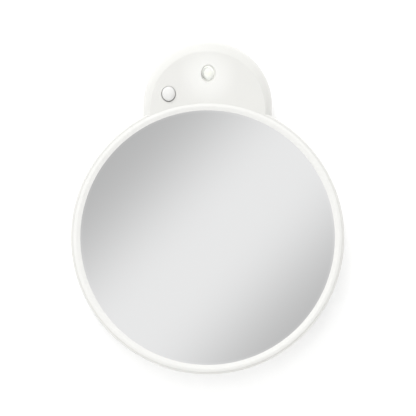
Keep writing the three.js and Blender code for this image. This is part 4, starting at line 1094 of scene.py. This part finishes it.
for end_name in ("upper", "lower"):
    node_name = "contact_spring_" + end_name
    piece("spring_" + end_name, contact_spring(node_name), nickel, "nickel", node_name)
for wire_name, stops in WIRE_ROUTES.items():
    route = curved_line([(x, -depth, z) for x, depth, z in stops], WIRE_STEPS)
    wire = tube_along(route, WIRE_RADIUS, WIRE_SIDES)
    piece("lead_" + wire_name, wire, insulation[wire_name], wire_name + "_wire", "wire_" + wire_name)


# Resistor, drawn along the depth and laid across the board
def resistor(at):
    half = RESISTOR.length / 2
    waist = half * (1 - RESISTOR.end_share)
    neck = waist - RESISTOR.taper
    thick, thin = RESISTOR.radius, RESISTOR.radius * RESISTOR.waist_share
    waists = [(thick, -waist), (thin, -neck), (thin, neck), (thick, waist)]
    body = turned([
        (0, -half), (thick, -half, RESISTOR.end_rounding),
        *[(*corner, RESISTOR.waist_rounding) for corner in waists],
        (thick, half, RESISTOR.end_rounding), (0, half),
    ], SMALL_SIDES)
    depth = at.front - RESISTOR.radius
    body = laid_across(body, 1, at.place, depth)
    z, bend = at.place[1], RESISTOR.lead_bend
    left, right = at.left + RESISTOR.lead_radius, at.right - RESISTOR.lead_radius
    corners = [(left, -at.back, z), (left, bend - depth, z), (left + bend, -depth, z),
               (right - bend, -depth, z), (right, bend - depth, z), (right, -at.back, z)]
    wire = tube_along(curved_line(corners, ROUND_STEPS), RESISTOR.lead_radius, THIN_WIRE_SIDES)
    return joined(body, wire)


# Bands along the resistor: how far from its middle, half width, colour
LACQUER_TAN = (0.66, 0.5, 0.32)
BROWN, BLACK, GOLD = (0.3, 0.12, 0.04), (0.02, 0.02, 0.02), (0.6, 0.42, 0.08)
RESISTOR_BANDS = [
    (0, 2.8, LACQUER_TAN), (-2.1, 0.25, BROWN), (-0.9, 0.2, BLACK), (0, 0.2, BROWN), (2.1, 0.25, GOLD),
]
TINNED = (0.7, 0.7, 0.7)

resistor_reach = reach("resistor")
bands = [(resistor_reach.place[0] + off, half, color) for off, half, color in RESISTOR_BANDS]
resistor_coat = banded("resistor_coat", TINNED, bands, roughness=0.35, grain_scale=500.0)
piece("series_resistor", resistor(resistor_reach), resistor_coat, "resistor_body", "resistor")


# Solder joints on the board's back
def solder_joints():
    places = [(reach("led_lead_" + side).place[0], lamp_reach.place[1]) for side in ("left", "right")]
    lead = RESISTOR.lead_radius
    for x in (resistor_reach.left + lead, resistor_reach.right - lead):
        places.append((x, resistor_reach.place[1]))
    back = board_reach.back
    peak = back - SOLDER.height
    waist = back - SOLDER.height * SOLDER.waist_height_share
    outline = [
        (0, peak), (SOLDER.radius * SOLDER.peak_share, peak, SOLDER.rounding),
        (SOLDER.radius * SOLDER.waist_share, waist, SOLDER.rounding), (SOLDER.radius, back), (0, back),
    ]
    return gathered(*[turned(outline, SOLDER_SIDES, place, SMALL_STEPS) for place in places])


piece("solder", solder_joints(), tin, "steel")


# CAD nodes that keep their shape: welded, softly bevelled and smoothed by angle
def angle_smoother():
    """A geometry node group that shades faces smooth, apart from sharp edges."""
    tree = bpy.data.node_groups.new("smooth_by_angle", "GeometryNodeTree")
    for way in ("INPUT", "OUTPUT"):
        tree.interface.new_socket("Geometry", in_out=way, socket_type="NodeSocketGeometry")
    kinds = (
        "NodeGroupInput", "NodeGroupOutput", "GeometryNodeSetShadeSmooth", "GeometryNodeSetShadeSmooth",
        "GeometryNodeInputMeshEdgeAngle", "ShaderNodeMath",
    )
    start, end, smooth, keep, angle, over = [tree.nodes.new(kind) for kind in kinds]
    keep.domain = "EDGE"
    keep.inputs["Shade Smooth"].default_value = False
    over.operation = "GREATER_THAN"
    over.inputs[1].default_value = SHARP_ANGLE
    tree.links.new(start.outputs[0], smooth.inputs["Geometry"])
    tree.links.new(smooth.outputs[0], keep.inputs["Geometry"])
    tree.links.new(angle.outputs["Unsigned Angle"], over.inputs[0])
    tree.links.new(over.outputs[0], keep.inputs["Selection"])
    tree.links.new(keep.outputs[0], end.inputs[0])
    return tree


SMOOTHER = angle_smoother()
BEVEL_SEGMENTS = 2
DRESSED = {
    "contact_positive": (nickel, 0.08), "contact_negative": (nickel, 0.08), "contact_bridge": (nickel, 0.08),
    "led_lead_left": (tin, 0.04), "led_lead_right": (tin, 0.04), "led_spacer": (shell, 0.1),
    "circuit_board": (mask, 0.06), "switch_body": (dark, 0.15), "switch_plunger": (dark, 0.15),
}

for node_name, (finish, bevel) in DRESSED.items():
    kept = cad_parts[node_name]
    kept.data.materials.clear()
    kept.data.materials.append(finish)
    weld = kept.modifiers.new("weld", "WELD")
    weld.merge_threshold = WELD_DISTANCE * MM
    soft = kept.modifiers.new("soft_edges", "BEVEL")
    soft.width = bevel * MM
    soft.segments = BEVEL_SEGMENTS
    soft.limit_method = "ANGLE"
    soft.angle_limit = SHARP_ANGLE
    kept.modifiers.new("smooth", "NODES").node_group = SMOOTHER


# Stage: a pale wall right behind the cups and a pale floor well below, in metres
STAGE_HALF = 2.6
FLOOR_FRONT = -1.5
FLOOR_Z = -0.36
WALL_GAP = 0.0004


def stage_plane(name, near, far, material):
    """A stage plane between two lines along x, each at a place (y, z)."""
    mesh = bpy.data.meshes.new(name)
    left, right = -STAGE_HALF, STAGE_HALF
    mesh.from_pydata([(left, *near), (right, *near), (right, *far), (left, *far)], [], [(0, 1, 2, 3)])
    mesh.materials.append(material)
    placed(name, mesh)


def clear_behind(graph, passes_light=False):
    """Makes a stage material clear from behind, and also to light where it passes light."""
    when = graph.node("NewGeometry", out="Backfacing")
    if passes_light:
        when = graph.math("MAXIMUM", when, graph.node("LightPath", out="Is Shadow Ray"))
    painted = graph.tree.nodes["Principled BSDF"].outputs[0]
    blend = graph.node("MixShader", {0: when, 1: painted, 2: graph.node("BsdfTransparent")})
    graph.give(graph.tree.nodes["Material Output"].inputs["Surface"], blend)


def wall_paint():
    graph = blank_material("wall_paint")
    clear_behind(graph, passes_light=True)
    return graph.shaded(
        Base_Color=(0.8, 0.8, 0.8, 1), Roughness=0.9, Specular_IOR_Level=0.0,
        Emission_Color=(1, 1, 1, 1), Emission_Strength=0.325,
    )


def floor_paint():
    graph = blank_material("floor_paint")
    cloud = graph.noise(graph.where(), scale=6.0, detail=3.0)
    clear_behind(graph)
    return graph.shaded(Base_Color=(0.66, 0.66, 0.655, 1), Roughness=graph.ranged(cloud, 0.7, 0.85))


stage_plane("wall", (WALL_GAP, FLOOR_Z), (WALL_GAP, STAGE_HALF), wall_paint())
stage_plane("floor", (FLOOR_FRONT, FLOOR_Z), (STAGE_HALF, FLOOR_Z), floor_paint())

# Light, in metres and watts. The spill stands for the lamp's own glow on the tab.
LIGHTS = {
    "upper_key": Sizes(place=(-0.45, -1.0, 1.24), aim=(0, 0, 0.02), size=0.8, power=8, glossy=False),
    "front_key": Sizes(place=(-0.23, -1.63, 0.41), aim=(0, 0, 0.02), size=0.7, power=4.1, glossy=False),
    "back_fill": Sizes(place=(0.9, 1.5, 0.9), aim=(0, 0, 0), size=1.2, power=4, glossy=True),
}
SPILL = Sizes(
    height=30.0, drop=1.5, power=0.005, color=(0.92, 0.95, 1.0), angle=math.radians(58), size=0.001,
)

for light_name, light in LIGHTS.items():
    source = bpy.data.lights.new(light_name, "AREA")
    source.shape = "SQUARE"
    source.size = light.size
    source.energy = light.power
    holder = placed(light_name, source)
    holder.location = light.place
    holder.rotation_mode = "QUATERNION"
    holder.rotation_quaternion = (Vector(light.aim) - Vector(light.place)).to_track_quat("-Z", "Y")
    holder.visible_glossy = light.glossy

spill = bpy.data.lights.new("lamp_spill", "SPOT")
spill.energy = SPILL.power
spill.color = SPILL.color
spill.spot_size = SPILL.angle
spill.spot_blend = 1.0
spill.shadow_soft_size = SPILL.size
spill_holder = placed("lamp_spill", spill)
lamp_x, lamp_z = lamp_reach.place
spill_holder.location = (lamp_x * MM, -(FACE_DEPTH + SPILL.height) * MM, (lamp_z - SPILL.drop) * MM)
spill_holder.rotation_euler = (math.pi / 2, 0, 0)
spill_holder.visible_glossy = False
spill_holder.visible_camera = False

BAND = Sizes(across=(0.731, 0.0, -0.682), shift=0.0045, width=0.2, middle_light=0.89, side_light=0.52)
AMBIENT = Sizes(brightest_way=(-0.22, -0.3, 0.93), slope=0.42, light=0.54)


def room_light():
    """Soft white surroundings, with a paler band across the side that the mirror faces."""
    world = bpy.data.worlds.new("room")
    bpy.context.scene.world = world
    world.use_nodes = True
    graph = Graph(world.node_tree)
    way = graph.node("TexCoord", out="Generated")
    off = graph.math("ABSOLUTE", graph.math("ADD", graph.along(way, BAND.across), BAND.shift))
    band = graph.ranged(off, BAND.middle_light, BAND.side_light, end=BAND.width, kind="SMOOTHERSTEP")
    slope = graph.along(way, AMBIENT.brightest_way)
    soft = graph.math("MULTIPLY_ADD", slope, AMBIENT.slope, AMBIENT.light)
    seen = graph.node("LightPath").node.outputs
    around = {"Factor": seen["Is Glossy Ray"], "A": soft, "B": band}
    ambient = graph.node("Mix", around, data_type="FLOAT")
    light = graph.node("Mix", {"Factor": seen["Is Camera Ray"], "A": ambient, "B": 1.0}, data_type="FLOAT")
    backdrop = world.node_tree.nodes["Background"].inputs
    graph.give(backdrop["Strength"], light)
    graph.give(backdrop["Color"], (1, 1, 1, 1))


room_light()

# Camera: straight on, level with the middle of the photo, in metres
CAMERA = Sizes(x=0.0002, z=0.01515, distance=1.22, sensor=36, view_width=0.2126)
camera_data = bpy.data.cameras.new("camera")
camera_data.sensor_width = CAMERA.sensor
camera_data.lens = CAMERA.sensor * (CAMERA.distance - FACE_DEPTH * MM) / CAMERA.view_width
camera = placed("camera", camera_data)
camera.location = (CAMERA.x, -CAMERA.distance, CAMERA.z)
camera.rotation_euler = (math.pi / 2, 0, 0)
bpy.context.scene.camera = camera
bpy.context.scene.view_settings.view_transform = "Standard"
